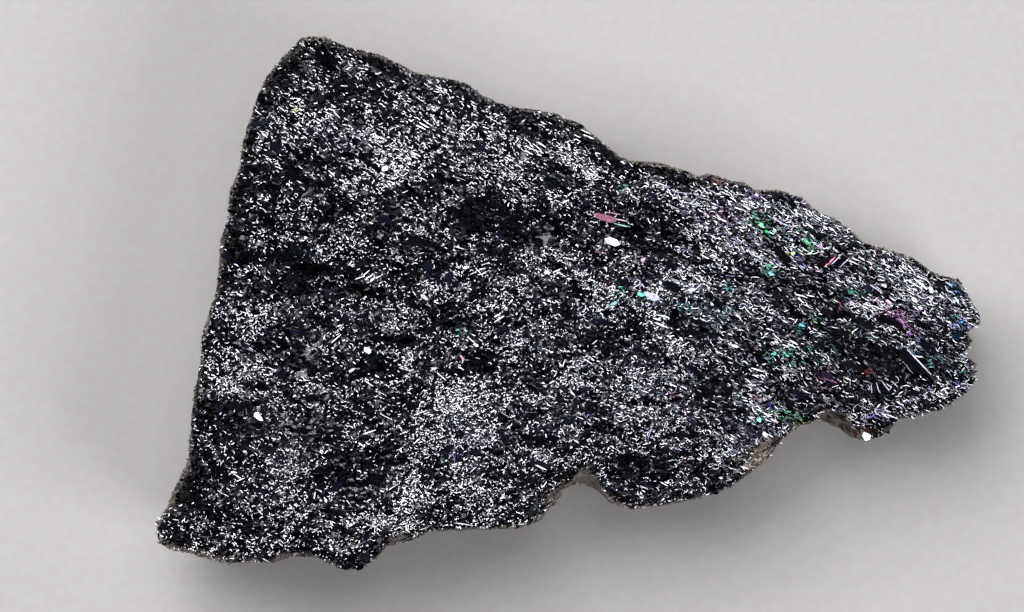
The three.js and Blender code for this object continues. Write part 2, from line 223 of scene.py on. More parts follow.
leftAt = sideCurve(corners["bottomLeft"], leftSide, corners["topLeft"], 1)
rightAt = sideCurve(corners["bottomRight"], rightSide, corners["topRight"], 1)
topAt = sideCurve(corners["topLeft"], topSide, corners["topRight"], 0)
bottomAt = sideCurve(corners["bottomLeft"], bottomSide, corners["bottomRight"], 0)


def plan(p, q):
    # a patch between four sides: the blend from left to right, plus the blend from bottom to
    # top, less the blend of the four corners; p and q run from -1 to 1
    u, v = (p + 1) / 2, (q + 1) / 2
    du, dv = u[..., None], v[..., None]
    c = {name: np.array(place) for name, place in corners.items()}
    ofCorners = mix(mix(c["bottomLeft"], c["bottomRight"], du), mix(c["topLeft"], c["topRight"], du), dv)
    return mix(leftAt(v), rightAt(v), du) + mix(bottomAt(u), topAt(u), dv) - ofCorners


def halfWidthAt(p):  # half the distance from the lower side to the upper one
    return np.linalg.norm(topAt((p + 1) / 2) - bottomAt((p + 1) / 2), axis=-1) / 2


flow = {
    "upper": -33, "middle": -3, "lower": 14,  # headings of the crystals in degrees
    "upperFrom": (6, 20), "upperSlant": 0.1, "narrowFrom": (8, 30), "lowerFrom": (14, 30),  # mm
}


def orderAt(x, y):
    # how strictly the crystals run one way: 0 in the broad end, 1 above and in the narrow one
    upper = ease(*flow["upperFrom"], y + flow["upperSlant"] * x)
    return 1 - (1 - upper) * (1 - ease(*flow["narrowFrom"], x))


def flowAt(x, y):
    # heading of the crystals in degrees: nearly level in the middle of the broad end, turned
    # one way below it and, as the order grows, the other way above it and in the narrow end
    broad = mix(flow["middle"], flow["lower"], ease(*flow["lowerFrom"], -y))
    return mix(broad, flow["upper"], orderAt(x, y))


def hillsAt(x, y, rows):
    # sum of hills, each its height times e to the minus square of the distance, measured along
    # and across its heading in its own half length and half width
    total = np.zeros_like(x)
    for cx, cy, halfLong, halfWide, heading, height in rows:
        c, s = math.cos(math.radians(heading)), math.sin(math.radians(heading))
        along = ((x - cx) * c + (y - cy) * s) / halfLong
        across = ((y - cy) * c - (x - cx) * s) / halfWide
        total = total + height * np.exp(-(along ** 2 + across ** 2))
    return total


def lumpsAt(x, y, name):  # noise of a height, stretched to a length in x and another in y
    height, long, wide = form[name]
    return height * smoothNoise(x / long, y / wide, layers[name])


def ripplesAt(p, q, name):  # noise of a height, with so many lumps to half the lump's size
    height, countLong, countWide = form[name]
    return height * smoothNoise(p * countLong, q * countWide, layers[name])


def ledgesAt(p, q):
    # saw teeth across the lump, each rising slowly and falling fast, whose line wanders; 0.4
    # lies them about evenly over and under the face
    line = q * form["ledgeCount"] / 2 + ripplesAt(p, q, "ledgeWander") + ripplesAt(p, q, "ledgeRipple")
    step, top = line - np.floor(line), form["ledgeRise"]
    return form["ledgeStep"] * (ease(0, top, step) - ease(top, 1, step) - 0.4)


def topHeight(p, q, x, y):
    # broad slope plus swells, two noises and ledges, less a drop that fades in from the rim
    rim = np.minimum((1 - abs(p)) * form["halfLength"], (1 - abs(q)) * halfWidthAt(p))
    broad = mix(form["heightLeft"], form["heightRight"], ease(-form["halfLength"], form["halfLength"], x))
    lumps = lumpsAt(x, y, "lumps") + lumpsAt(x, y, "smallLumps")
    drop = form["rimDrop"] * np.exp(-rim / form["rimWidth"])
    return broad + hillsAt(x, y, swells) + lumps + ledgesAt(p, q) - drop


def bottomHeight(p, q):
    # 0 in the middle, and rising to the foot of the walls with a ripple
    outward = np.maximum(abs(p), abs(q)) + ripplesAt(p, q, "flatEdge")
    return form["footLift"] * ease(form["flatShare"], 1, outward) * (1 + ripplesAt(p, q, "footRipple"))


def insetAt(x, y, share, setBack):
    # how far the wall stands inside the outline: the rim's inset above the widest line, the
    # foot's below it, and lumps that slant up the wall and vanish at the widest line
    between = 4 * share * (1 - share)  # 0 at the rim and the foot, 1 half way up
    wander = smoothNoise(x / form["widestSpan"], y / form["widestSpan"], layers["widest"])
    height = share + form["widestWander"] * between * wander
    rim = form["rimInset"]
    for cx, cy, reach, extra in wideWalls:
        rim = rim + extra * np.exp(-((x - cx) ** 2 + (y - cy) ** 2) / reach ** 2)
    wander = smoothNoise(x / form["footSpan"], y / form["footSpan"], layers["foot"])
    foot = form["footInset"] * (1 + form["footWander"] * wander)
    above = rim * np.clip((height - form["widestAt"]) / (1 - form["widestAt"]), 0, 1)
    below = foot * np.clip((form["widestAt"] - height) / form["widestAt"], 0, 1) ** 1.5
    slant, span = form["lumpSlant"] * share, form["lumpSpan"]
    lump = smoothNoise((x + slant) / span, (y - slant) / span, layers["wallLumps"])
    off = np.clip(4 * abs(height - form["widestAt"]), 0, 1)
    return above + below + (form["wallLumps"] * np.maximum(0, lump) + setBack) * between * off


def jitterAt(p, q, share, use):
    # the solid's own lattice numbers, blended straight between the eight lattice points around
    spots = []
    for value, count in (((p + 1) / 2, "facesLong"), ((q + 1) / 2, "facesWide"), (share, "facesHigh")):
        spot = np.clip(value, 0, 1) * form[count]
        whole = np.minimum(np.floor(spot), form[count] - 1).astype(np.int64)
        spots.append((whole, spot - whole))
    (i, du), (j, dv), (k, dw) = spots

    def numberAt(a, b, row):  # the lattice number of a corner of the solid's faces
        return latticeNumber(2 * a - form["facesLong"], 2 * b - form["facesWide"], layers[use] + row)
    rows = []
    for row in (k, k + 1):
        ends = [mix(numberAt(a, j, row), numberAt(a, j + 1, row), dv) for a in (i, i + 1)]
        rows.append(mix(*ends, du))
    return mix(rows[0], rows[1], dw)


def lumpAt(p, q, share):
    # a point of a box carried to the lump: the patch drawn in by the wall's inset, at a height
    # between the underside and the crystal face, and off it by the jitter of the solid's faces
    edge = plan(p, q)
    setBack = form["wallJitter"] * abs(jitterAt(p, q, share, "setBack"))
    inset = insetAt(edge[..., 0], edge[..., 1], share, setBack)
    pIn = p * (1 - inset / form["halfLength"] * abs(p) ** form["insetFade"])
    qIn = q * (1 - inset / halfWidthAt(p) * abs(q) ** form["insetFade"])
    x, y = np.moveaxis(plan(pIn, qIn), -1, 0)
    z = mix(bottomHeight(p, q), topHeight(p, q, x, y), share)
    offWalls = 1 - np.maximum(abs(p), abs(q)) ** 16
    room = halfWidthAt(p) / form["halfWidth"]
    x = x + form["planJitter"] * offWalls * jitterAt(p, q, share, "alongX")
    y = y + form["planJitter"] * offWalls * room * jitterAt(p, q, share, "alongY")
    z = z + form["faceJitter"] * share * np.sqrt(room) * jitterAt(p, q, share, "alongZ")
    return np.stack([x, y, z], axis=-1)


def patchAt(x, y):  # patch coordinates of points of the plan, by repeated correction
    p, q = x / form["halfLength"], np.zeros_like(x)
    for step in range(40):
        off = np.stack([x, y], axis=-1) - plan(p, q)
        p = np.clip(p + 0.9 * off[..., 0] / form["halfLength"], -1, 1)
        q = np.clip(q + 0.9 * off[..., 1] / halfWidthAt(p), -1, 1)
    return p, q


def boxSurface(long, wide, high):
    # the six faces of a box of long x wide x high cells as quads with shared vertices;
    # returns whole-number places of the vertices and the four vertices of each quad
    def side(first, second, third, level, flip):  # one face: first and second run, third stays
        counts = {0: long, 1: wide, 2: high}
        a, b = np.meshgrid(np.arange(counts[first]), np.arange(counts[second]), indexing="ij")
        a, b = a.ravel(), b.ravel()
        quads = np.zeros((len(a), 4, 3), np.int64)
        for corner, (da, db) in enumerate([(0, 0), (1, 0), (1, 1), (0, 1)]):
            quads[:, corner, first] = a + da
            quads[:, corner, second] = b + db
            quads[:, corner, third] = level
        return quads[:, ::-1] if flip else quads

    quads = np.concatenate([
        side(0, 1, 2, high, False), side(0, 1, 2, 0, True), side(1, 2, 0, long, False),
        side(1, 2, 0, 0, True), side(2, 0, 1, wide, False), side(2, 0, 1, 0, True),
    ])
    keys = (quads[..., 0] * (wide + 1) + quads[..., 1]) * (high + 1) + quads[..., 2]
    kept, index = np.unique(keys.ravel(), return_inverse=True)
    column, row = kept // (high + 1), kept % (high + 1)
    spots = np.stack([column // (wide + 1), column % (wide + 1), row], axis=1)
    return spots, index.reshape(-1, 4)


# materials

def socket(sockets, name):  # the socket of that name which is in use
    return next(one for one in sockets if one.name == name and one.enabled)


def addNode(tree, kind, output, settings=None, links=None):
    # adds a node, gives its properties and free sockets their settings, links the other sockets,
    # and returns its output socket of that name
    node = tree.nodes.new(kind)
    for name, value in (settings or {}).items():
        if hasattr(node, name):
            setattr(node, name, value)
        else:
            socket(node.inputs, name).default_value = value
    for name, source in (links or {}).items():
        tree.links.new(source, socket(node.inputs, name))
    return socket(node.outputs, output) if output else None


def rgba(code):  # sRGB hex to linear RGB and full cover
    return (*linear(code), 1)


def startMaterial(name):  # a material with an empty node tree
    material = bpy.data.materials.new(name)
    material.use_nodes = True
    material.node_tree.nodes.clear()
    return material, material.node_tree


finish = {
    "carbideIor": 2.65,  # silicon carbide: a fifth of the light comes back straight off a face
    "filmedIor": 1.46,  # silica, whose film on the small crystals swallows most of that gleam
    "crustRoughness": 0.3, "faceRoughness": 0.09, "bladeRoughness": 0.08,
    "dustRoughness": 0.5, "temperRoughness": 0.2,
    "ground": "#010103", "groundPale": "#0a0b11",
    "dust": "#746a58", "dustDark": "#2e2a24", "cloud": "#b4b4bc",
    "grainSpan": 0.45, "stainSpan": 7, "bumpDepth": 0.06, "bumpStrength": 0.6,  # mm, mm, mm, share
    "paleLevels": (0.45, 0.75), "dustLevels": (0.38, 0.62), "cloudLevels": (0.3, 0.7),  # of the noise
}


def grained(tree, span, detail, roughness, levels):
    # noise whose lumps measure span mm, and how far it is from the lower to the upper level
    place = addNode(tree, "ShaderNodeTexCoord", "Object")
    noise = addNode(tree, "ShaderNodeTexNoise", "Fac", {
        "Scale": 1 / (span * metre), "Detail": detail, "Roughness": roughness}, {"Vector": place})
    share = addNode(tree, "ShaderNodeMapRange", "Result", {"From Min": levels[0], "From Max": levels[1]},
                    {"Value": noise})
    return noise, share


def finished(material, settings, links):  # the surface of a material, linked to its output
    shader = addNode(material.node_tree, "ShaderNodeBsdfPrincipled", "BSDF", settings, links)
    addNode(material.node_tree, "ShaderNodeOutputMaterial", None, links={"Surface": shader})
    return material


def crustMaterial():
    # fused silicon carbide between the crystals: near black and glassy on the crystal face;
    # grey-brown and dull with furnace dust on the broken walls
    material, tree = startMaterial("fusedCarbideCrust")
    grain, paleShare = grained(tree, finish["grainSpan"], 3, 0.5, finish["paleLevels"])
    dustShare = grained(tree, finish["stainSpan"], 4, 0.6, finish["dustLevels"])[1]
    face = addNode(tree, "ShaderNodeMix", "Result", {
        "data_type": "RGBA", "A": rgba(finish["ground"]), "B": rgba(finish["groundPale"])},
        {"Factor": paleShare})
    dust = addNode(tree, "ShaderNodeMix", "Result", {
        "data_type": "RGBA", "A": rgba(finish["dustDark"]), "B": rgba(finish["dust"])},
        {"Factor": dustShare})
    wall = addNode(tree, "ShaderNodeAttribute", "Fac", {"attribute_name": "dustiness"})
    colour = addNode(tree, "ShaderNodeMix", "Result", {"data_type": "RGBA"},
                     {"Factor": wall, "A": face, "B": dust})
    bump = addNode(tree, "ShaderNodeBump", "Normal", {
        "Strength": finish["bumpStrength"], "Distance": finish["bumpDepth"] * metre}, {"Height": grain})
    return finished(material, {"IOR": finish["filmedIor"], "Roughness": finish["crustRoughness"]},
                    {"Base Color": colour, "Normal": bump})


def crystalMaterial(name, settings):
    # grown faces of one crystal each: flat and glossy, each in its own shade, faintly clouded
    material, tree = startMaterial(name)
    shade = addNode(tree, "ShaderNodeAttribute", "Color", {"attribute_name": "shade"})
    cloud = grained(tree, finish["grainSpan"], 2, 0.5, finish["cloudLevels"])[1]
    colour = addNode(tree, "ShaderNodeMix", "Result", {
        "data_type": "RGBA", "blend_type": "MULTIPLY", "B": rgba(finish["cloud"])},
        {"Factor": cloud, "A": shade})
    return finished(material, settings, {"Base Color": colour})


# lit crystal faces, clean and smooth: grown silicon carbide, whose gleam is almost a metal's
darkCarbide = crystalMaterial("grownCarbideCrystal", {
    "Roughness": finish["faceRoughness"], "IOR": finish["carbideIor"]})
# the dark fine crystals under their silica film: black with only a weak gleam
filmedCarbide = crystalMaterial("silicaFilmedCarbideCrystal", {
    "Roughness": finish["faceRoughness"], "IOR": finish["filmedIor"]})
# the large flat crystals: black mirrors that flash as a whole or not at all
bladeCarbide = crystalMaterial("grownCarbideBlade", {
    "Roughness": finish["bladeRoughness"], "IOR": finish["carbideIor"]})
# broken grains of the walls, dull with dust
dustyCarbide = crystalMaterial("dustyCarbideGrain", {
    "Roughness": finish["dustRoughness"], "IOR": finish["carbideIor"]})
# heat-tinted skin: a film thinner than light's wave that colours what the face throws back
temperedCarbide = crystalMaterial("heatTintedCarbide", {
    "Roughness": finish["temperRoughness"], "Metallic": 1})
print("materials made")


# the crust: the lump itself, finer than its solid

crust = {
    "seed": 11,
    "cellsLong": 200, "cellsWide": 124, "cellsHigh": 40,
    "grit": 0.2,  # mm, how far a grain of the surface stands off
    "pitDepth": 0.5, "pitSpan": 2.2,  # mm, broken pits in the underside
    "faceFrom": (0.93, 0.98),  # share of the height at which the walls turn to the crystal face
    "rimFrom": (0.2, 0.55),  # mm in from the rim where the fine crystals start
    "mostTriangles": 190000,  # of one piece
    "clearance": 0.02,  # mm, the lowest that any crystal reaches
}

spots, quads = boxSurface(crust["cellsLong"], crust["cellsWide"], crust["cellsHigh"])
p = spots[:, 0] / crust["cellsLong"] * 2 - 1
q = spots[:, 1] / crust["cellsWide"] * 2 - 1
share = spots[:, 2] / crust["cellsHigh"]
macro = lumpAt(p, q, share)
print("the lump's form worked out")


def faceNormals(places, quads):  # half the cross product of the diagonals: area times normal
    a, b, c, d = (places[quads[:, k]] for k in range(4))
    return np.cross(c - a, d - b) / 2


def vertexNormals(places, quads):  # sum of the faces around each vertex
    total = np.zeros_like(places)
    each = faceNormals(places, quads)
    for k in range(4):
        for axis in range(3):
            total[:, axis] += np.bincount(quads[:, k], each[:, axis], len(places))
    return unit(total)


# broken places without lit crystals, under dust: x, y, half length, half width, heading, height
bare = [
    (27.3, -22, 2.6, 1.2, 56, 1.4), (-2.6, -27.6, 2.8, 0.9, 48, 0.6), (5.2, -28.4, 2.4, 0.7, -35, 1.1),
    (-53.8, -35.8, 4, 0.8, -8, 0.8), (-41.4, -36.4, 2, 0.8, 10, 1), (-50.6, 6.6, 3.6, 0.9, 85, 0.8),
    (-56.8, -27.4, 2.6, 0.8, 65, 0.6), (38.6, -17.6, 2.4, 0.8, -30, 1.2), (-25.2, -34, 2, 0.7, 40, 1),
]
# where the walls are palest: pale dust, and along the upper right rim a painted highlight standing in for
# light falling on the rim; x, y, half length, half width, heading, height
paleDustAndRimHighlight = [
    (27.3, -22, 3.4, 2.4, 56, 1), (15, -29.4, 9, 1.6, 14, 0.8), (42, 10.5, 18, 3, -27, 1),
    (58, -2, 3, 9, 0, 0.6), (-46, 30, 3, 9, -20, 0.4),
]
rimDistance = np.minimum((1 - abs(p)) * form["halfLength"], (1 - abs(q)) * halfWidthAt(p))
bareness = np.clip(hillsAt(macro[:, 0], macro[:, 1], bare), 0, 1)
outward = vertexNormals(macro, quads)
random = np.random.default_rng(crust["seed"])
grit = crust["grit"] * random.uniform(-1, 1, len(macro))
resting = (macro[:, 2] < 0.02) & (outward[:, 2] < -0.5)  # the flat that the lump lies on
pits = smoothNoise(macro[:, 0] / crust["pitSpan"], macro[:, 1] / crust["pitSpan"], layers["pits"])
pitted = crust["pitDepth"] * np.maximum(0, pits) * (outward[:, 2] < -0.3)
places = macro + outward * np.where(resting, 0, grit)[:, None]
places[:, 2] = np.maximum(places[:, 2] + pitted + np.where(resting & (pits > 0), abs(grit), 0), 0)

crustPiece = writePiece("crystalCrust", places, quads.ravel(), np.full(len(quads), 4), crustMaterial())
# clean where the surface faces up, at the top of the lump and off the broken places
clean = ease(0.02, 0.25, outward[:, 2]) * ease(*crust["faceFrom"], share) * (1 - bareness)
writeNumbers(crustPiece, "dustiness", 1 - clean)
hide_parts(massNode)


# prisms: every grain, blade and plate is one

def prisms(centre, axis, first, ring, halfLength, slopeLow, slopeHigh):
    # each prism: a ring of points about the axis, at minus and plus half the length along it,
    # cut off at a slope; the ring is given along first and along axis x first
    second = np.cross(axis, first)
    sides = ring.shape[1]
    ends = []
    for sign, slope in ((-1, slopeLow), (1, slopeHigh)):
        along = sign * halfLength[:, None] + np.einsum("nmk,nk->nm", ring, slope)
        ends.append(centre[:, None] + axis[:, None] * along[..., None]
                    + first[:, None] * ring[..., :1] + second[:, None] * ring[..., 1:])
    places = np.concatenate(ends, axis=1).reshape(-1, 3)
    low = np.arange(sides)
    nextOne = (low + 1) % sides
    pattern = [low[::-1], low + sides] + [
        np.array([k, n, n + sides, k + sides]) for k, n in zip(low, nextOne)]
    one = np.concatenate(pattern)
    faces = (np.arange(len(centre)) * 2 * sides)[:, None] + one
    sizes = np.tile([len(face) for face in pattern], len(centre))
    return places, faces.ravel(), sizes


def turned(v, axis, degrees):  # v turned about a unit axis it is square to
    angle = np.radians(degrees)[:, None]
    return v * np.cos(angle) + np.cross(axis, v) * np.sin(angle)


def scatter(count, weights, random):
    # points spread over the crust by a weight for each quad, with the form's outward direction
    chosen = random.choice(len(quads), count, p=weights / weights.sum())
    u, v = random.random((2, count, 1))
    a, b, c, d = (quads[chosen, k] for k in range(4))
    at = mix(mix(macro[a], macro[b], u), mix(macro[d], macro[c], u), v)
    up = unit(mix(mix(outward[a], outward[b], u), mix(outward[d], outward[c], u), v))
    return at, up


# how the crystals of each spot lie, x, y, half length, half width, heading, amount: above 0 more
# of them lean the common way, so that they shine together; below 0 they lean the other ways
lays = [
    (-36, 33, 9, 5, -15, -0.6), (-37, 13, 10, 6, 0, -0.35), (-48.6, 14, 3, 14, 0, -0.6),
    (-54, -9, 1.8, 8, 0, -0.5), (10, -12, 16, 9, 0, 0.15), (44, -8, 18, 12, 0, 0.15),
    (-26.5, 19.6, 2, 2, 0, 0.9), (-36, 25, 6, 3, -35, 0.4), (-12, 23, 9, 3, -10, 0.15),
    (1, 21.6, 3, 2.2, -50, 0.4), (2.4, 18, 3, 2, 0, 0.4), (-5.4, 5.6, 2.2, 1.6, -30, 0.4),
    (7, 0.8, 5, 2.4, -5, 0.7), (16, 2.6, 4, 2.6, -15, 0.8), (13, 16, 2, 2, 0, 0.5),
    (21.6, 11.4, 7, 3, -28, 1.1), (33.5, 8.4, 3, 2, -25, 1), (38, 10, 5, 2.6, -30, 0.4),
    (48.4, 3.4, 6, 3.6, -35, 0.8), (57.4, 0, 3.4, 4.4, 0, 1.6), (46.6, -3, 4, 2, -42, 1.2),
    (-47.5, -3.5, 3, 3, 0, 0.3), (-48.6, -11.2, 2.6, 2.2, 0, 0.6), (-17.2, -13.2, 3, 2.6, 0, 1.1),
    (-13, -15.4, 4, 3, 30, 0.5), (-22.6, -24, 2, 6, -8, 0.7), (-26, -31, 4, 2.4, 0, 0.4),
    (-10, -27, 5, 4, 0, 0.4), (11.6, -11, 4, 4, 0, 0.7), (15.4, -18, 3, 2.4, 0, 0.5),
    (0.5, -11, 4, 2, 0, 0.3), (27, -14.4, 2.4, 1.8, -40, 1), (22.4, -20.6, 5, 2.6, 0, 0.3),
    (-11.6, -4.6, 3, 2, -20, 0.1), (-27, -6.6, 4.6, 1, -10, 0.5), (29, -7.6, 3, 1.4, -20, 0.3),
    (52, -13.6, 6, 2.2, 10, 0.6), (43.4, -16, 3, 1.8, 0, 0.9), (9, -28, 6, 2, 10, 0.2),
    (29.4, 13.2, 4, 1.8, -25, 0.6), (30.6, 16.6, 2, 1.2, 0, -0.5), (-19.4, -18.6, 2.4, 2.2, 0, 0.5),
    (41.4, -0.8, 2, 1.6, 0, 0.7), (-23.3, -9, 1.6, 1.6, 0, 0.5), (-40, -24, 5, 3.4, 0, 0.7),
    (-9, -29, 5, 2.4, 0, 0.5), (-3.4, -22.4, 2.4, 1.6, 0, 0.8), (17.6, -8, 1.6, 1.6, 0, 0.5),
    (24, -22, 4, 2, 30, 0.3), (-41, 5.6, 5, 2.2, -15, -0.4), (-15.2, 12, 2.8, 3, -15, -0.7),
    (-34.4, 0.4, 3, 2, 0, -0.4), (-4.4, 10, 3, 2.4, -10, -0.8), (5.5, 14.6, 2.4, 1.6, -20, -0.3),
    (9, 10.4, 2.4, 2, 0, -0.4), (13.4, 8, 1.4, 4, 0, -0.4), (-24, 15, 3, 1.6, 0, -0.3),
    (-18, -2, 3, 1.6, -10, -0.3), (30, 3.4, 5, 2.4, -30, -0.5), (40, -5.4, 3, 2.6, -35, -0.2),
    (46, -9.4, 5, 2.6, -20, -0.9), (36.4, -11.6, 2, 2.4, 0, -0.3), (19.4, -12.4, 2, 3.4, 30, -0.6),
    (9.6, -23.4, 5, 2, 0, -0.3), (-31, -14.4, 5, 5, 0, -0.3), (-49.4, -17, 4, 3, -10, -0.6),
    (-56, -27, 2, 3, 30, -0.4), (-7.6, -9, 2.4, 1.6, 0, -0.4), (-39, -8.2, 3.4, 2, 0, -1),
    (-25, 35, 9, 2.6, -22, -0.3), (-4.4, 1, 2.4, 1.6, -10, -0.5), (-11, 30, 7, 2.4, -20, -0.4),
    (-10, -18, 2.4, 2, 0, -0.6), (2, 25.9, 4, 1.8, -40, -1.8), (-17.4, -17.7, 3, 2.2, 0, 0.7),
    (-28.6, 3, 2.4, 1.8, 0, -0.5), (23.4, -6.2, 2.4, 1.8, 0, -0.4), (-46, -32, 12, 4, 0, 0.35),
    (-13.4, -12, 2, 2, 0, 0.4), (-12.6, -28, 2.4, 2, 0, 0.4), (-46, 26.4, 2.4, 6, -30, -0.8),
    (-47.4, 10, 3, 3, 0, -0.3), (45.4, -13.6, 2, 1.6, 0, -0.6), (51, 6.2, 2.4, 1.4, -40, -1.1),
    (-46.8, -19.4, 2.4, 2, 0, -0.4), (-41.8, 17.2, 2.4, 2, 0, -0.4), (-35.6, -28.8, 3, 2, 0, -0.5),
    (-38.4, 23.4, 2.4, 2, 0, 0.5), (56.8, -8.8, 1.6, 2, 0, 0.6), (46.6, -17, 2, 1, 0, -0.6),
    (-3.4, -6.6, 2, 1.4, 0, -0.5), (2.2, -13.8, 2, 2, 0, -0.5), (-11.6, 30, 2.4, 1.4, -20, -0.4),
    (-38, 31, 2.4, 2, 0, 0.5), (38, 3.4, 2, 1.6, 0, 0.5), (20, 19, 3, 1.2, 0, -0.5),
    (-26.6, -18.4, 2, 2, 0, -0.5), (27.4, 7.4, 2, 1.4, 0, -0.5), (-31, 33, 2, 2, 0, -0.4),
    (-17.4, 22.8, 3, 2, 0, 0.6), (11.6, 4.4, 2, 1.4, 0, -0.4), (-5.6, 5.8, 2, 1.6, 0, 0.4),
    (-13.2, 2.4, 2.4, 1.4, 0, -0.5), (-37.6, 2.8, 2.4, 1.6, 0, -0.5), (-20.5, 33, 2.4, 1.4, -20, -0.4),
    (55, 4.6, 1.6, 1, -30, -0.5), (46.4, -2.8, 2, 1.4, -40, 0.4), (-34.8, -14, 2.4, 2, 0, -0.3),
    (41.2, -12.8, 2, 1.6, 0, -0.4), (20.2, -7.8, 2, 1.6, 0, 0.4), (-20.8, -14.6, 1.6, 1.6, 0, -0.4),
    (-37, -3.8, 2, 1.6, 0, -0.4), (-15, -4.8, 2, 1.4, 0, -0.4), (-29.2, 17, 2, 1.6, 0, -0.4),
    (8.9, -19, 2, 1.6, 0, 0.4), (-22.4, 24.8, 2, 1.4, 0, -0.4), (-12.4, 30.4, 3, 1.6, -20, -0.9),
    (-26.4, -28, 2, 2, 0, -0.4), (-15.4, 17.2, 2.4, 1.4, 0, -0.5), (-45.3, -4.6, 2, 2, 0, 0.4),
    (-0.8, -7, 2, 1.6, 0, -0.4), (-4.2, 8.6, 2, 1.6, 0, -0.4), (-34.8, 28.4, 2.4, 2, 0, -0.7),
]

layNoise = [(0.25, 9, 5), (0.5, 4, 1.4)]  # amount, span along the flow and across it in mm

# ways of leaning: azimuth from +X towards +Y and angle from straight up, with their shares
lean = {
    "common": [(128, 17, 0.6), (-38, 21, 0.25), (75, 7, 0.15)],
    "dark": [(-130, 22, 0.4), (-165, 27, 0.25), (45, 28, 0.35)],
    "spread": 7,  # degrees
}


def wayOf(ways, count, random, spread):
    # directions drawn from the ways by their shares, each off it by a draw from the normal
    # distribution with a spread in degrees
    azimuth, fromTop, shares = np.array(ways, float).T
    one = random.choice(len(ways), count, p=shares / shares.sum())
    a, t = np.radians(azimuth[one]), np.radians(fromTop[one])
    ideal = np.stack([np.cos(a) * np.sin(t), np.sin(a) * np.sin(t), np.cos(t)], axis=1)
    return unit(ideal + random.normal(0, math.radians(spread), (count, 3)))


def layAt(x, y):
    # the listed hills plus two noises stretched along the flow, kept within -1 and 1
    heading, noise = np.radians(flowAt(x, y)), 0
    along, across = x * np.cos(heading) + y * np.sin(heading), y * np.cos(heading) - x * np.sin(heading)
    for k, (amount, long, wide) in enumerate(layNoise):
        noise = noise + amount * smoothNoise(along / long, across / wide, layers["lay"] + k)
    return np.clip(hillsAt(x, y, lays) + noise, -1, 1)


# hazes: patches where the fine crystals between the bright edges are lighter and coloured, and more faint
# edges show; x, y, half length, half width, heading, height, colour
hazePatches = [
    (-13.6, -20.8, 6, 5, 0, 0.8, "#5a6078"), (-4.4, -17.2, 8, 4, 0, 0.6, "#58546a"),
    (-6.2, -6.2, 7, 2.4, -5, 0.5, "#4a5470"), (12.1, -10.7, 6, 4, -20, 0.8, "#58606e"),
    (19.4, -1.6, 5, 3, -20, 0.6, "#4a6468"), (-42, -24.5, 4, 4, 0, 0.6, "#565268"),
    (-48.4, -10.8, 3, 3, 0, 0.6, "#5c5870"), (-31, -1.6, 4, 2.4, 0, 0.5, "#48546c"),
    (-19, 15.8, 5, 2.4, -10, 0.4, "#3c4862"), (-32.8, 24, 5, 3, -20, 0.5, "#525672"),
    (54.3, 1.2, 4, 4, -40, 0.7, "#4a6078"), (-22.7, 32.4, 5, 2, -20, 0.5, "#463c60"),
    (2.9, -0.6, 4, 3, 0, 0.4, "#485468"), (-11.7, 29.6, 6, 2.4, -20, 0.4, "#4c4a5a"),
    (24.4, -19.4, 3, 3, 0, 0.9, "#6c6488"), (25.1, 10.7, 3, 2, -30, 0.6, "#6c5464"),
    (48.5, -1.8, 4, 1.2, -38, 0.8, "#4c1c44"), (50, 3, 5, 2.4, -38, 0.6, "#686a78"),
    (21, 12, 5, 2, -25, 0.5, "#645a6c"), (34, 13.4, 4, 1.6, -30, 0.5, "#4a5c7c"),
]

hazeLook = {
    "strength": 0.9, "noise": 0.3, "spanLong": 4.5, "spanWide": 2.2,  # mm
    "clear": 0.06, "colour": "#4c4c5c",  # thickness left off all over; colour between the hills
    "onSplinters": 0.4, "onEdges": 0.7,  # how far it covers them where it is thickest
}


def hazeAt(x, y):
    # amount and colour of the haze: the strongest hill's, the amount with a noise added
    best, colours = np.zeros_like(x), np.tile(linear(hazeLook["colour"]), (len(x), 1))
    for *hill, code in hazePatches:
        height = hillsAt(x, y, [hill])
        colours[height > best] = linear(code)
        best = np.maximum(best, height)
    noise = smoothNoise(x / hazeLook["spanLong"], y / hazeLook["spanWide"], layers["haze"])
    thickness = hazeLook["strength"] * best + hazeLook["noise"] * noise - hazeLook["clear"]
    return np.clip(thickness, 0, 1), colours


def byLay(amounts, lay, limits):  # the first amount plus the second times the lay, within limits
    return np.clip(amounts[0] + amounts[1] * lay, *limits)


def leaning(up, ways, share, steepest, random):
    # turns a share of the crystals to the given ways; those on steeper ground are left
    turnedOnes = (random.random(len(up)) < share) & (up[:, 2] > steepest)
    return np.where(turnedOnes[:, None], wayOf(ways, len(up), random, lean["spread"]), up), turnedOnes


def growth(at, up, heading, led, tiltSpread, random):
    # a frame for each crystal: along its heading, or up a wall, and square to its outward
    # direction; those not led are dipped and rolled within a spread in degrees
    turn = np.radians(heading)
    along = np.stack([np.cos(turn), np.sin(turn), np.zeros(len(at))], axis=1)
    steep = abs(up[:, 2]) < 0.35
    rise = np.stack([0.5 * along[:, 0], 0.5 * along[:, 1], random.uniform(-1, 1, len(at))], axis=1)
    along = np.where(steep[:, None], rise, along)
    along = unit(along - up * np.sum(along * up, axis=1, keepdims=True))
    across = np.cross(up, along)
    tilt, roll = random.normal(0, tiltSpread, (2, len(at))) * ~led
    along, up = turned(along, across, tilt), turned(up, across, tilt)
    return along, turned(up, along, roll)


def habitHeading(x, y, random):
    # edges of hexagonal plates: most run along the slant of the narrow end, others sixty
    # degrees off it, which in the broad end are nearly as many
    main, draw = mix(*edges["mainShare"], orderAt(x, y)), random.random(len(x))
    first, second, third = edges["headings"]
    others = np.where(draw < mix(main, 1, edges["secondShare"]), second, third)
    return np.where(draw < main, first, others) + random.normal(0, edges["headingSpread"], len(x))


def greys(random, count, low, high, power):  # neutral, slightly blue shades between two
    share = random.random((count, 1)) ** power
    return mix(linear(low), linear(high), share)


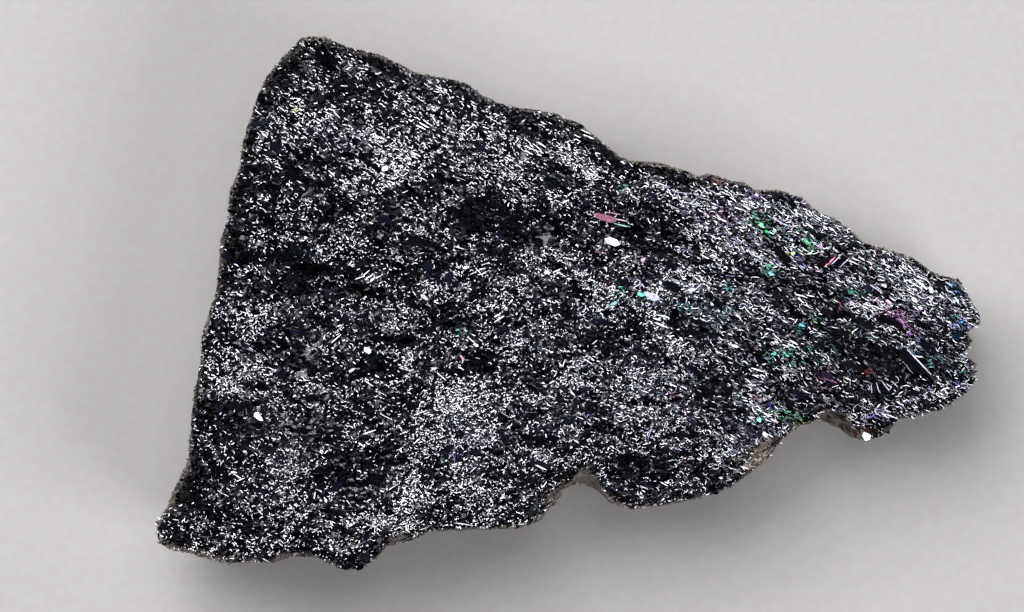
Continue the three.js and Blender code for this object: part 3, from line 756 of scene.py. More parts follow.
# every quad of the crust: its area, where it faces and where it is
faceArea = faceNormals(macro, quads)
area = np.linalg.norm(faceArea, axis=1)
facing = faceArea[:, 2] / np.maximum(area, 1e-9)  # 1 where a quad faces up
middle = macro[quads].mean(axis=1)
fromRim = 1 - np.maximum(abs(p), abs(q))[quads].mean(axis=1)  # 0 at the rim, 1 in the middle
level = share[quads].mean(axis=1)  # 0 at the foot of a wall, 1 at its rim
# 1 on the crystal face, 0 on the walls, the rim and the bare places
onFace = ease(*crust["faceFrom"], level) * ease(*crust["rimFrom"], rimDistance[quads].mean(axis=1))
onFace = onFace * (1 - ease(0.3, 0.6, bareness[quads].mean(axis=1)))


# plates: tabular crystals of one to three millimetres that show between the fine ones

plates = {
    "seed": 23,
    "count": 1900, "length": (0.8, 2.8), "thickness": 0.6,  # mm
    "width": (0.24, 0.5),  # share of the length
    "lift": 0.1, "standing": 0.2,  # mm above the crust, and how much of the thickness stays out
    "headingSpread": 16, "tiltSpread": 8,  # degrees
    "uneven": (0.65, 1.2),  # times the distance of each corner from the middle
    "shadeRange": (0.05, 1.9),  # times the tint
    "facing": (0.4, 0.7), "fromRim": (0, 0.06),  # over which they set in
    "crowding": 1.2,  # less the lay: how many there are
}


def hexagons(length, width):  # six-sided rings, a point at either end of the length
    corner = np.radians(np.arange(6) * 60)
    return np.stack([np.cos(corner) * length[:, None] / 2, np.sin(corner) * width[:, None] / 2], axis=2)


def slopeTo(target, axis, first):
    # the slope of a prism's end that faces a direction: minus its parts square to the axis, over
    # its part along the axis, kept under a half
    second = np.cross(axis, first)
    parts = [np.sum(target * v, axis=1) for v in (first, second, axis)]
    slope = -np.stack(parts[:2], axis=1) / np.maximum(parts[2], 0.5)[:, None]
    return slope * np.minimum(1, 0.5 / np.linalg.norm(slope, axis=1, keepdims=True))


def facingSlope(shines, axis, first, random):
    # the slope of each upper face: towards a common way if it shines, and otherwise towards the
    # dark way whose normal stays farthest from all common ways
    slopes = slopeTo(wayOf(lean["common"], len(axis), random, 3), axis, first)
    shining, gleam = wayOf(lean["common"], 60, random, 1), np.where(shines, -1, 1.0)
    for way in lean["dark"]:
        slope = slopeTo(wayOf([way], len(axis), random, 5), axis, first)
        normal = unit(axis - first * slope[:, :1] - np.cross(axis, first) * slope[:, 1:])
        near = np.max(normal @ shining.T, axis=1)
        darker = near < gleam
        slopes, gleam = np.where(darker[:, None], slope, slopes), np.where(darker, near, gleam)
    return slopes


# smooth faces keep a trace of the heat tint: near black with violet, wine, navy and green in it
darkTints = ["#0d0d11", "#131317", "#181619", "#11151b", "#111517", "#1c1d23", "#16141f"]


def darkShades(random, count):  # a dark tint each, times a draw that is mostly low
    kinds = np.array([linear(code) for code in darkTints])[random.integers(len(darkTints), size=count)]
    return kinds * mix(*plates["shadeRange"], random.random((count, 1)) ** 2)


def tabularCrystals():
    # flat prisms along the flow where few fine crystals lie, their upper faces cut to a dark way
    random = np.random.default_rng(plates["seed"])
    room = ease(*plates["facing"], facing) * ease(*plates["fromRim"], fromRim)
    room = room * (plates["crowding"] - layAt(middle[:, 0], middle[:, 1]))
    at, up = scatter(plates["count"], area * room * onFace, random)
    heading = flowAt(at[:, 0], at[:, 1]) + random.normal(0, plates["headingSpread"], len(at))
    along, up = growth(at, up, heading, np.zeros(len(at), bool), plates["tiltSpread"], random)
    length = mix(*plates["length"], random.random(len(at)) ** 1.8)
    ring = hexagons(length, length * random.uniform(*plates["width"], len(at)))
    ring *= random.uniform(*plates["uneven"], (len(at), 6, 1))
    slope = facingSlope(np.zeros(len(at), bool), up, along, random)
    half = np.full(len(at), plates["thickness"] / 2)
    centre = at + up * (plates["lift"] - plates["thickness"] / 2 + plates["standing"])
    places, faces, sizes = prisms(centre, up, along, ring, half, slope * 0, slope)
    piece = writePiece("tabularCrystals", places, faces, sizes, bladeCarbide)
    writeColours(piece, "shade", np.repeat(darkShades(random, len(at)), 12, axis=0))


tabularCrystals()


# standing crystals: the single blades of the solid

singles = {
    "bladeSeed": 31, "facetSeed": 71,
    "tintStrength": 0.2,  # times the colour of a tinted face or line
    "untinted": "#101014",
    "facetSink": 0.5, "facetThickness": 1, "lineRoot": 0.6, "lineWander": 0.03,  # mm
    "facetLean": 0.05, "lineEnds": 0.4, "lineUneven": (0.7, 1.2),  # slope; times the width
    "bladeUneven": (0.75, 1.05), "facetUneven": (0.5, 1.2),  # times each corner's distance
}


def bladeRows(random):
    # the solid's blades: scattered over the patch, more and longer towards the narrow end
    k = np.arange(form["bladeCount"])

    def chance(use):  # from 0 to 1, the solid's own draw for each blade
        return (1 + latticeNumber(k, use, layers["blades"])) / 2
    towardsTip = 1 - chance(1) ** 1.5
    farLong, farWide = form["bladeReach"]
    xy = plan(mix(-farLong, farLong, towardsTip), mix(-farWide, farWide, chance(2)))
    length = mix(*form["bladeLength"], chance(3)) * mix(*form["bladeGrowth"], towardsTip)
    width = length * mix(*form["bladeWidth"], chance(4))
    heading = flowAt(xy[:, 0], xy[:, 1]) + mix(-form["bladeTurn"], form["bladeTurn"], chance(5))
    dip = mix(-form["bladeDip"], form["bladeDip"], chance(6))
    rows = np.stack([xy[:, 0], xy[:, 1], length, width, heading, dip], axis=1)
    return [(*row, form["bladeHeight"], random.choice(darkTints)) for row in rows]


def writeFaces(name, centre, up, along, ring, half, looks, random):
    # prisms in two groups, the heat-tinted ones and the rest; their upper ends are cut to face a
    # common way, or a dark way where the look is a dark colour
    shade = np.array([linear(singles["untinted"] if look == "plain" else look) for look in looks])
    plain = np.array([look == "plain" for look in looks])
    tinted = (shade.max(axis=1) > 0.1) & ~plain
    slope = facingSlope(plain | tinted, up, along, random)
    groups = {
        "Tinted": (tinted, temperedCarbide, singles["tintStrength"]),
        "Dark": (~tinted, bladeCarbide, 1),
    }
    for group, (k, material, strength) in groups.items():
        flat = np.zeros((np.sum(k), 2))
        places, faces, sizes = prisms(centre[k], up[k], along[k], ring[k], half[k], flat, slope[k])
        piece = writePiece(name + group, places, faces, sizes, material)
        writeColours(piece, "shade", np.repeat(shade[k] * strength, 12, axis=0))


def standingBlades():
    # a prism for each row, rooted in the crust and reaching its height above it, its upper face
    # turned by the heading and raised by the dip
    random = np.random.default_rng(singles["bladeSeed"])
    rows = crystals + bladeRows(random)
    x, y, length, width, heading, dip, height = np.array([row[:7] for row in rows], float).T
    p, q = patchAt(x, y)
    turn, dip = np.radians(heading), np.radians(dip)
    along = np.stack([np.cos(turn) * np.cos(dip), np.sin(turn) * np.cos(dip), np.sin(dip)], axis=1)
    across = np.stack([-np.sin(turn), np.cos(turn), np.zeros(len(x))], axis=1)
    centre = np.stack([x, y, topHeight(p, q, x, y) + (height - form["crystalRoot"]) / 2], axis=1)
    half = (form["crystalRoot"] + height) / 2
    ring = hexagons(length, width) * random.uniform(*singles["bladeUneven"], (len(x), 6, 1))
    up = np.cross(along, across)
    writeFaces("standingBlades", centre, up, along, ring, half, [row[7] for row in rows], random)


standingBlades()


# splinters: the fine dark crystals, each a four-cornered face with its root in the mass

splinters = {
    "faceSeed": 47, "faceCount": 60000,
    "length": (0.3, 0.85), "width": (0.14, 0.32), "root": 0.35, "rise": 0.2,  # mm
    "dark": (0.88, -0.3), "bright": (-0.04, 0.4),  # share leaning a dark or a common way, and by lay
    "darkLimits": (0.6, 1), "brightLimits": (0, 0.36), "steepest": 0.5,  # least upward part to lean
    "facing": (0, 0.3),  # upward part over which they set in
    "headingSpread": 30, "tiltSpread": 18,  # degrees
    "uneven": (0.55, 1.2),  # times each corner's distance
    "riseSpread": (-0.2, 1), "rootAside": 0.3,  # times the rise; share of the width
    "greys": ("#000000", "#191720", 6),  # from, to, and how far the draw favours the first
}

# bright edges: the lit rims of hexagonal plates, narrow strips that turn by sixty degrees
edges = {
    "seed": 61,
    "crowd": 350000, "cellLong": 0.43, "cellWide": 0.28,  # mm; one edge to a cell of a brick pattern
    "lit": (0.46, 0.82), "faint": (0.02, 0.26),  # share of the cells, and what lay or bloom adds
    "led": (0.76, 0.4),  # share that leans a common way, and what the lay adds
    "litLimits": (0.02, 0.95), "ledLimits": (0.3, 0.98), "litSpread": 0.35, "tintedLay": 0.6,
    "facing": (-0.1, 0.15), "steepest": 0.05,  # upward part where they set in, and least to lean
    "narrowFrom": (8, 34),  # mm from the middle, where the narrow end starts
    "headings": (-32, 25, 85), "headingSpread": 12, "tiltSpread": 16,  # degrees
    "mainShare": (0.52, 0.86), "secondShare": 0.8,  # with the first heading, by order; of the rest
    "step": (0.12, 0.31), "stepOrder": 0.1, "stepNarrow": 0.6,  # mm; longer by order and at the tip
    "width": (0.06, 0.118), "widthLay": 0.3, "widthNarrow": 0.78,  # mm; broader by lay, then slimmer
    "ends": 0.45, "uneven": (0.7, 1.25),  # times the width
    "root": 0.4, "rise": (0.12, 0.36),  # mm
    "wave": 0.018,  # mm up and down along the strip, which breaks its gleam
    "bend": 60, "bendNarrow": 0.5, "bendSpread": 17, "straight": (0.2, 0.6),  # degrees, then shares
    "needles": 0.02, "needleStep": (0.3, 0.7), "broad": 0.05,  # shares of them; mm
    "greys": ("#08080c", "#2c2d36", 2), "faintGreys": ("#08080c", "#262330", 2),
}

# single lines: x, y, length, width, heading, lift, colour; the lit edges of the larger crystals
lines = [
    (50.4, -8.5, 5.4, 0.2, -49, 1.5, "#f0f0fa"), (48.9, -9.4, 2.2, 0.14, -49, 1.3, "#8a8a96"),
    (38.5, 6.4, 2.4, 0.14, 47, 1.2, "#e0e0ec"), (39.6, 5.9, 2, 0.14, 47, 1.2, "#d0d0dc"),
    (37.5, 6, 2, 0.28, 42, 1.2, "#f0909c"), (6.8, 12, 3, 0.15, -14, 1, "#d8c8d0"),
    (7.3, 11.2, 2.6, 0.15, -17, 0.6, "#a8d0c4"), (6, 12.9, 2.4, 0.15, -13, 0.7, "#d0a0b0"),
    (16.2, 15.9, 3, 0.12, -11, 0.5, "#c8c8d4"), (17.4, 14.3, 3.4, 0.15, -14, 0.5, "#dcdce8"),
    (19, 15.1, 2.4, 0.12, -20, 0.5, "#b8b8c8"), (14.6, 13.9, 2.2, 0.13, -26, 0.5, "#c8c8d8"),
    (-4.4, -23.6, 1.9, 0.24, -30, 1.2, "#f4f4fc"), (-3.2, -23.9, 1.2, 0.22, 30, 1.2, "#f4f4fc"),
    (-16, -31.6, 3.6, 0.16, -12, 0.5, "#e0e0ec"), (34.4, -6.6, 2.6, 0.12, -60, 0.5, "#5fae90"),
    (51.8, 1.3, 3.4, 0.15, -38, 0.5, "#f0f0fa"), (45.6, 5.6, 2.8, 0.14, -34, 0.5, "#e4e4f0"),
    (44, 2.2, 3, 0.13, -36, 0.5, "#e4e4f0"), (30, 11.9, 2.8, 0.14, -30, 0.5, "#d8d8e6"),
    (45.6, -12, 1.9, 0.13, -55, 0.5, "#dcdce8"), (44.5, -12.3, 1.7, 0.12, -68, 0.5, "#c8c8d4"),
    (43.5, -12.4, 1.4, 0.12, -85, 0.5, "#b8b8c4"), (46.8, -11.6, 1.8, 0.13, -44, 0.5, "#d0d0dc"),
    (54.6, 2, 1.2, 0.14, -60, 0.9, "#c8d8f0"), (55.2, 1.6, 1.4, 0.13, -35, 0.8, "#f0f0fa"),
    (55.9, 1.2, 1, 0.15, -50, 0.9, "#88b4e0"), (54.9, 0.6, 1.2, 0.12, -42, 0.8, "#f0f0fa"),
    (56.1, 0.2, 1.1, 0.13, -55, 0.8, "#d8e0f0"), (55, 2.8, 1.1, 0.12, -30, 0.8, "#f0f0fa"),
]

# bundles: x, y, length, heading, how many lines side by side, distance between them
bundles = [
    (1.6, 24, 1.6, -28, 4, 0.6), (-5.6, 22.4, 1.3, -32, 4, 0.6), (24.6, 14.2, 1.6, -25, 3, 0.6),
    (41.4, 6.6, 1.6, -33, 4, 0.6), (50, 2.6, 1.8, -36, 5, 0.6), (46, 0.4, 1.6, -42, 3, 0.6),
    (31.6, -6, 1.6, -30, 3, 0.6), (13, -2.6, 1.6, -22, 3, 0.6), (-34.4, 27.6, 1.4, -32, 3, 0.6),
    (-21, 25.4, 1.4, -30, 3, 0.6), (27, -9.4, 1.8, -24, 4, 0.6), (34, 0.6, 1.5, -34, 3, 0.6),
    (20, 6.4, 1.4, -28, 3, 0.6), (-29, 3.6, 1.2, 35, 3, 0.6), (-10.4, -1.6, 1.2, 30, 3, 0.6),
]

# single facets: x, y, length, width, heading, lift, look
facets = [
    (10.3, 6.2, 1.1, 0.8, 40, 0.6, "#d8c4d4"), (9.9, 1.2, 1.4, 0.7, -10, 1.2, "#7fd0c0"),
    (13, 2, 0.9, 0.6, -30, 0.8, "#cfc4dc"), (6.2, -0.1, 1.2, 0.6, 20, 0.6, "#98d0cc"),
    (-29, -6.8, 1.5, 0.9, -40, 0.6, "plain"), (-31.4, -9.7, 1.4, 0.5, 30, 0.6, "plain"),
    (-15.6, -7.9, 1.3, 0.5, -45, 0.6, "#dcb0bc"), (-19.7, -9.4, 1.3, 0.5, 10, 0.6, "#e0d0d8"),
    (-21, 0.8, 1.5, 0.6, -35, 0.6, "plain"), (-13.7, -6, 0.9, 0.5, -20, 0.6, "plain"),
    (-15, 5.1, 1, 0.5, 20, 0.6, "plain"), (-3.5, 4.4, 1, 0.6, 0, 0.6, "plain"),
    (-44.6, -16.2, 1.8, 0.8, -42, 1.2, "plain"), (-26.7, 19.2, 1.4, 0.7, 10, 0.6, "plain"),
    (-38.9, 29, 0.7, 0.6, 0, 0.5, "plain"), (28, -19, 1.3, 0.7, -60, 1, "plain"),
    (55.2, 2.6, 1, 0.6, -50, 0.6, "#7fb4e0"), (49.6, 0.6, 1.3, 0.6, -45, 0.6, "plain"),
    (43, -9.9, 0.9, 0.7, 60, 0.6, "#54281f"), (55.8, -4.6, 2.2, 1.4, -60, 0.4, "#18283c"),
    (45.4, 2.6, 1.2, 0.5, -33, 0.6, "#d8d0c8"), (23.6, -6.2, 1.1, 0.5, -15, 0.6, "plain"),
    (17.4, 1.9, 1.3, 0.6, 10, 0.6, "plain"), (42.8, -19.2, 1.5, 1.2, -50, 2.7, "plain"),
    (41.2, -18.8, 1.8, 1.3, -30, 1.6, "#3d2a20"), (43.9, -18.4, 1.6, 0.6, -75, 2.2, "#6b5546"),
    (27.2, 11.6, 2.2, 0.6, -45, 0.6, "#a8f0b8"), (28.4, 10.3, 1, 0.4, -45, 0.5, "#38c870"),
    (34.2, 8.8, 1.8, 0.6, -40, 0.6, "#6fd0a0"), (28.6, 5.4, 0.9, 0.7, -10, 0.42, "#8fe0b8"),
    (28.9, 4.2, 1.2, 0.5, -15, 0.42, "#98dcd0"), (36.1, 8.2, 0.9, 0.6, -50, 0.42, "#cfa0e4"),
    (32.1, 7.2, 0.9, 0.7, -50, 0.42, "#cfe8b4"), (26.9, 15.6, 1, 0.6, -40, 0.5, "#e8d8f4"),
    (29.5, 10.3, 0.9, 0.6, -30, 0.42, "#9fccc0"), (40.6, 1.6, 1.6, 0.5, -15, 0.6, "#60d8b8"),
    (33.3, -3.2, 1.2, 0.5, -20, 0.42, "#88d0d0"), (29.3, -7.4, 1.1, 0.5, 10, 0.42, "#78d8c0"),
    (31.1, -7.6, 1.6, 0.5, -20, 0.6, "#88e0c8"), (47.8, -3.5, 1.8, 0.5, -30, 0.6, "#e890e8"),
    (49, -4.4, 1.1, 0.4, -42, 0.42, "#b878d0"), (46, 0, 1.1, 0.4, -45, 0.6, "#c098a4"),
    (48, 4.2, 1, 0.7, -50, 0.42, "#c8dcf0"), (52.2, 1.8, 1.4, 0.8, -70, 0.42, "#dcf0f0"),
    (56.3, 2, 0.7, 0.4, -20, 0.6, "#58c0d4"), (55.6, 1.5, 0.6, 0.3, 20, 0.6, "#78a8e0"),
    (55.9, 0.3, 1, 0.5, 0, 0.5, "#98ccd8"), (54.9, -2, 1.5, 0.4, -25, 0.42, "#a8e0dc"),
    (56.6, -2.8, 0.8, 0.4, -15, 0.5, "#58b8f0"), (55.7, -3.2, 0.7, 0.4, -30, 0.5, "#8898f0"),
    (27, -16.7, 1, 0.9, -60, 0.42, "#a8e8e0"), (31.3, -15.8, 1.4, 0.5, -10, 0.42, "#78e0c4"),
    (28.7, -14.8, 1.6, 0.4, -55, 0.3, "#34327c"), (32.9, 6.8, 0.8, 0.4, -40, 0.3, "#26267c"),
]

# heat-tinted patches: x, y, half length, half width, heading, how thickly, colour
tints = [
    (26.8, 15.6, 1.3, 1, -20, 0.9, "#67548e"), (21.5, 12.4, 5, 1.4, -15, 0.35, "#7c6080"),
    (27.3, 11.5, 1.9, 1.1, -35, 0.9, "#1c8a5c"), (34.3, 8.7, 1.6, 1, -20, 0.8, "#2a8a5a"),
    (32.5, 7.3, 1.1, 0.7, -20, 0.8, "#7f8a4a"), (28.7, 4.7, 0.9, 0.8, 0, 0.9, "#1f8f74"),
    (40.5, 1.7, 1.4, 0.7, -5, 0.95, "#0b8f70"), (17, -0.5, 3, 1.5, -5, 0.3, "#2c7a70"),
    (21.5, -1, 2, 1, 0, 0.3, "#2c7a70"), (33, -3.7, 1.3, 0.8, -10, 0.85, "#2a8c8c"),
    (35.6, -2.5, 0.8, 0.5, 0, 0.9, "#0f8f68"), (36.5, -5.5, 2.6, 2, 0, 0.25, "#1c5a46"),
    (29, -8, 1.1, 0.7, 0, 0.9, "#159a78"), (31.2, -7.3, 1, 0.7, -10, 0.9, "#15a07c"),
    (32.3, -8.6, 1, 0.6, 0, 0.9, "#12907a"), (51, -6, 1.7, 1.2, -30, 0.6, "#0f5a70"),
    (56.5, -3, 1.4, 0.9, -20, 0.9, "#2c5a9a"), (56, 2, 1.3, 0.9, -40, 0.9, "#4a6a9f"),
    (55.5, -2.1, 0.9, 0.6, 0, 0.8, "#1a8088"), (56, -11.4, 1, 0.8, 0, 0.8, "#2f4a95"),
    (52, -8.8, 0.9, 0.7, 0, 0.8, "#1a857a"), (55.8, -8.9, 1, 0.8, 0, 0.8, "#178070"),
    (48, -2.4, 3, 1, -40, 0.95, "#92508c"), (39, -0.8, 1.5, 1, 0, 0.35, "#8a4450"),
    (36.5, -11, 1.3, 1, 0, 0.6, "#7d4a5c"), (42.8, -9.6, 1.4, 1, 0, 0.4, "#7a3036"),
    (25.5, -5.5, 2, 1, 0, 0.3, "#7f5c7c"), (27, -13.8, 1, 0.8, 0, 0.45, "#8a5a78"),
    (28, -14.5, 0.9, 0.7, 0, 0.7, "#6a5694"), (33, 6.2, 1.2, 0.7, -20, 0.8, "#6c4e86"),
    (36.3, 6, 1, 0.7, 45, 0.8, "#8f5070"), (20.2, 12.8, 0.9, 0.6, 0, 0.8, "#8f5c80"),
    (22, 12.8, 0.9, 0.6, 0, 0.8, "#8f5c80"), (27, -16.7, 1.1, 0.7, 0, 0.8, "#1b7890"),
    (32, -16.5, 1.7, 0.8, -10, 0.7, "#2a8a5c"), (33, -17.6, 1.2, 0.6, 0, 0.6, "#8a8440"),
    (44, -16.3, 1.1, 0.8, 0, 0.7, "#4a479a"), (22.8, 2.2, 0.8, 0.6, 0, 0.8, "#1d8c80"),
    (7, 2.3, 0.9, 0.7, -60, 0.8, "#1f9080"), (6.3, 0.4, 0.8, 0.5, 0, 0.7, "#1f9080"),
    (10.6, 1.1, 0.8, 0.6, 0, 0.7, "#5f9f98"), (4.6, 2.8, 0.8, 0.5, 0, 0.6, "#8a4048"),
    (10.2, 6.3, 0.9, 0.6, -20, 0.6, "#8f5a6c"), (3.5, 7.5, 1, 0.7, -20, 0.6, "#7a4658"),
    (7.3, 17, 0.7, 0.5, 0, 0.7, "#1d8c80"), (-39.5, 27.8, 0.6, 0.5, 0, 0.8, "#8a9040"),
    (-35.7, 22.8, 0.6, 0.5, 0, 0.8, "#7aa0a4"), (-16, -4.1, 0.7, 0.5, -20, 0.95, "#12a084"),
    (-5.7, -29.2, 0.6, 0.4, 0, 0.9, "#1f9080"), (-7.3, -25.5, 0.6, 0.4, 0, 0.9, "#8a4656"),
    (-16.3, -21.9, 0.8, 0.5, 20, 0.9, "#6f62a8"), (-18.4, -22.2, 0.5, 0.4, 0, 0.9, "#4f9f90"),
    (3, -16.3, 0.7, 0.5, 0, 0.8, "#7a62a0"), (14.7, -13.6, 0.6, 0.4, 0, 0.8, "#8f5c80"),
    (21.4, 17.6, 1.6, 0.8, -15, 0.8, "#6b4436"), (-27, 19, 0.6, 0.4, 0, 0.8, "#6a3446"),
    (-4, 23.8, 0.6, 0.4, 0, 0.8, "#8a4656"),
]

tintLook = {
    # faint colours of the thinnest film, which many grains of the narrow half carry
    "casts": ["#86829a", "#82908a", "#828a9c", "#928890", "#848c92"],
    "castShare": (0.02, 0.45), "castFrom": (-15, 30), "castSpan": 5,  # broad and narrow end; mm; mm
    "castBlend": 0.15, "shadeSpread": (0.75, 1.15),  # how far two casts mix; times the colour
    "reach": 1.2, "paling": 0.35,  # times the thickness; share of the way to a grey
    "patchStrength": 0.45, "castStrength": 0.34,
}


def tintOf(at, random):
    # which grains are tinted, and how: near a patch by its thickness, fading to its edge; the
    # nearest patch gives the colour, within a small change of shade; of the others a share
    # carries the cast of its place
    x, y = at[:, 0], at[:, 1]
    best, colours = np.zeros(len(at)), np.zeros((len(at), 3))
    for cx, cy, halfLong, halfWide, heading, thickness, code in tints:
        strength = thickness * hillsAt(x, y, [(cx, cy, halfLong, halfWide, heading, 1)])
        colours[strength > best] = linear(code)
        best = np.maximum(best, strength)
    patch = random.random(len(at)) < tintLook["reach"] * best
    span, blend = tintLook["castSpan"], tintLook["castBlend"]
    wave = 0.5 + 0.5 * smoothNoise(x / span, y / span, layers["cast"])
    wave = wave + random.uniform(-blend, blend, len(at))
    casts = np.array([linear(code) for code in tintLook["casts"]])
    cast = ~patch & (random.random(len(at)) < mix(*tintLook["castShare"], ease(*tintLook["castFrom"], x)))
    colours = np.where(patch[:, None], colours, casts[(wave * len(casts)).astype(int) % len(casts)])
    colours = mix(colours, colours.max(axis=1, keepdims=True), tintLook["paling"])
    strength = np.where(patch, tintLook["patchStrength"], tintLook["castStrength"])[:, None]
    return patch, cast, colours * random.uniform(*tintLook["shadeSpread"], (len(at), 3)) * strength


def splinterPlaces(at, up, dark, bright, random):
    # each splinter: a flat face of four uneven corners and one point below it, the root
    heading = flowAt(at[:, 0], at[:, 1]) + random.normal(0, splinters["headingSpread"], len(at))
    up, away = leaning(up, lean["dark"], dark, splinters["steepest"], random)
    up, towards = leaning(up, lean["common"], bright, splinters["steepest"], random)
    led = away | towards
    along, up = growth(at, up, heading, led, splinters["tiltSpread"], random)
    across = np.cross(up, along)
    size = np.stack([mix(*splinters["length"], random.random(len(at)) ** 1.5),
                     mix(*splinters["width"], random.random(len(at)))], axis=1)
    corner = np.array([(1, 1), (-1, 1), (-1, -1), (1, -1)]) / 2
    flat = corner * random.uniform(*splinters["uneven"], (len(at), 4, 2)) * size[:, None]
    middle = at + up * (splinters["rise"] * random.uniform(*splinters["riseSpread"], (len(at), 1)))
    top = middle[:, None] + along[:, None] * flat[..., :1] + across[:, None] * flat[..., 1:]
    reach = splinters["rootAside"]
    aside = random.uniform(-reach, reach, (2, len(at), 1)) * size[:, 1:]
    root = middle - up * splinters["root"] + along * aside[0] + across * aside[1]
    return np.concatenate([top, root[:, None]], axis=1)


# the faces of a splinter and of a strip, by the numbers of their points
splinterFaces = [(0, 1, 2, 3), (1, 0, 4), (2, 1, 4), (3, 2, 4), (0, 3, 4)]
edgeFaces = [(4, 5, 1, 0), (5, 6, 2, 1), (6, 7, 3, 2), (5, 4, 8), (6, 5, 8), (7, 6, 8), (3, 7, 8),
             (2, 3, 8), (1, 2, 8), (0, 1, 8), (4, 0, 8)]


def spaced(at, random):
    # of a crowd of points, the one nearest the middle of each cell of a brick pattern; and a
    # draw for each, spread evenly over neighbouring cells
    turn = math.radians(edges["headings"][0])
    along = (at[:, 0] * math.cos(turn) + at[:, 1] * math.sin(turn)) / edges["cellLong"]
    across = (at[:, 1] * math.cos(turn) - at[:, 0] * math.sin(turn)) / edges["cellWide"]
    row = np.floor(across)
    along = along + 0.5 * (row % 2)
    column = np.floor(along)
    order = np.argsort((along - column - 0.5) ** 2 + (across - row - 0.5) ** 2)
    cell = row * 4096 + column  # a number for each cell, more columns apart than there are
    kept = order[np.unique(cell[order], return_index=True)[1]]
    steps = 0.7549 * column + 0.5698 * row  # whose fractions fill 0 to 1 evenly over any few cells
    draw = steps + random.uniform(0, edges["litSpread"], len(at))
    return kept, draw[kept] % 1


def stripPlaces(centre, along, up, line, aim, half, wave, root):
    # a strip: a line of four points, widened to both sides of its aim and lifted by the wave, and
    # one point below it
    across = np.cross(up, along)
    aside = np.stack([-np.sin(aim), np.cos(aim)], axis=2) * half[..., None]
    flat = np.concatenate([line + aside, line - aside], axis=1)
    top = centre[:, None] + along[:, None] * flat[..., :1] + across[:, None] * flat[..., 1:]
    top += up[:, None] * np.tile(wave, (1, 2))[..., None]
    return np.concatenate([top, (centre - up * root)[:, None]], axis=1)


def edgePlaces(at, up, lay, random):
    # each edge: a strip that turns by the bend or not at all, narrower at its ends
    count, order = len(at), orderAt(at[:, 0], at[:, 1])
    narrow = ease(*edges["narrowFrom"], at[:, 0])
    heading = habitHeading(at[:, 0], at[:, 1], random)
    ledShare = byLay(edges["led"], lay, edges["ledLimits"])
    up, led = leaning(up, lean["common"], ledShare, edges["steepest"], random)
    along, up = growth(at, up, heading, led, edges["tiltSpread"], random)
    needle = (random.random(count) < edges["needles"])[:, None]
    none = random.random((count, 2)) < mix(*edges["straight"], order)[:, None]
    bend = edges["bend"] * mix(1, edges["bendNarrow"], narrow)[:, None]
    turns = np.where(none | needle, 0, bend * random.choice([-1, 1], (count, 1)))
    turns = np.radians(turns + random.normal(0, edges["bendSpread"], (count, 2)) * ~needle)
    angle = np.stack([-turns[:, 0], np.zeros(count), turns[:, 1]], axis=1)
    longer = 1 + edges["stepOrder"] * order + edges["stepNarrow"] * narrow
    step = mix(*edges["step"], random.random((count, 3))) * longer[:, None]
    step = np.where(needle, mix(*edges["needleStep"], random.random((count, 1))), step)
    steps = np.stack([np.cos(angle), np.sin(angle)], axis=2) * step[..., None]
    line = np.concatenate([np.zeros((count, 1, 2)), np.cumsum(steps, axis=1)], axis=1)
    line = line - line.mean(axis=1, keepdims=True)
    aim = np.concatenate([angle[:, :1], (angle[:, :-1] + angle[:, 1:]) / 2, angle[:, -1:]], axis=1)
    wider = (1 + edges["widthLay"] * np.clip(lay, 0, 1)) * mix(1, edges["widthNarrow"], narrow)
    taper = np.array([edges["ends"], 1, 1, edges["ends"]])
    half = mix(*edges["width"], random.random((count, 1))) / 2 * taper
    half = half * wider[:, None] * random.uniform(*edges["uneven"], (count, 4))
    half = half * (1 + (random.random((count, 1)) < edges["broad"]))
    centre = at + up * mix(*edges["rise"], random.random((count, 1)))
    wave = random.normal(0, edges["wave"], (count, 4))
    return stripPlaces(centre, along, up, line, aim, half, wave, edges["root"])


def surfaceAt(x, y, lift):  # points at a lift above the lump's upper face
    p, q = patchAt(x, y)
    return np.stack([x, y, lumpAt(p, q, np.ones_like(p))[:, 2] + lift], axis=1)


def linePlaces(rows, random):
    # straight strips given as x, y, length, width, heading, lift
    x, y, length, width, heading, lift = np.array(rows, float).T
    at, up = surfaceAt(x, y, lift), wayOf(lean["common"][:1], len(x), random, 2)
    along, up = growth(at, up, heading, np.ones(len(at), bool), 0, random)
    spot = np.array([-0.5, -0.2, 0.2, 0.5]) * length[:, None]
    line = np.stack([spot, random.normal(0, singles["lineWander"], spot.shape)], axis=2)
    taper = np.array([singles["lineEnds"], 1, 1, singles["lineEnds"]])
    half = width[:, None] / 2 * taper * random.uniform(*singles["lineUneven"], spot.shape)
    return stripPlaces(at, along, up, line, spot * 0, half, spot * 0, singles["lineRoot"])


bundleLook = {
    "aside": 0.2, "slip": 0.5,  # share of the gap; mm along the heading
    "length": (0.5, 1.5), "headingSpread": 6,  # times the bundle's; degrees
    "width": (0.1, 0.2), "lift": (0.3, 0.5),  # mm
}


def bundleRows(random):  # the lines of every bundle, side by side across its heading
    rows, aside = [], bundleLook["aside"]
    for x, y, length, heading, count, gap in bundles:
        turn = math.radians(heading)
        for k in range(count):
            off = (k - (count - 1) / 2 + random.uniform(-aside, aside)) * gap
            slip = random.normal(0, bundleLook["slip"])
            rows.append((x - off * math.sin(turn) + slip * math.cos(turn),
                         y + off * math.cos(turn) + slip * math.sin(turn),
                         length * random.uniform(*bundleLook["length"]),
                         random.uniform(*bundleLook["width"]),
                         heading + random.normal(0, bundleLook["headingSpread"]),
                         random.uniform(*bundleLook["lift"])))
    return rows


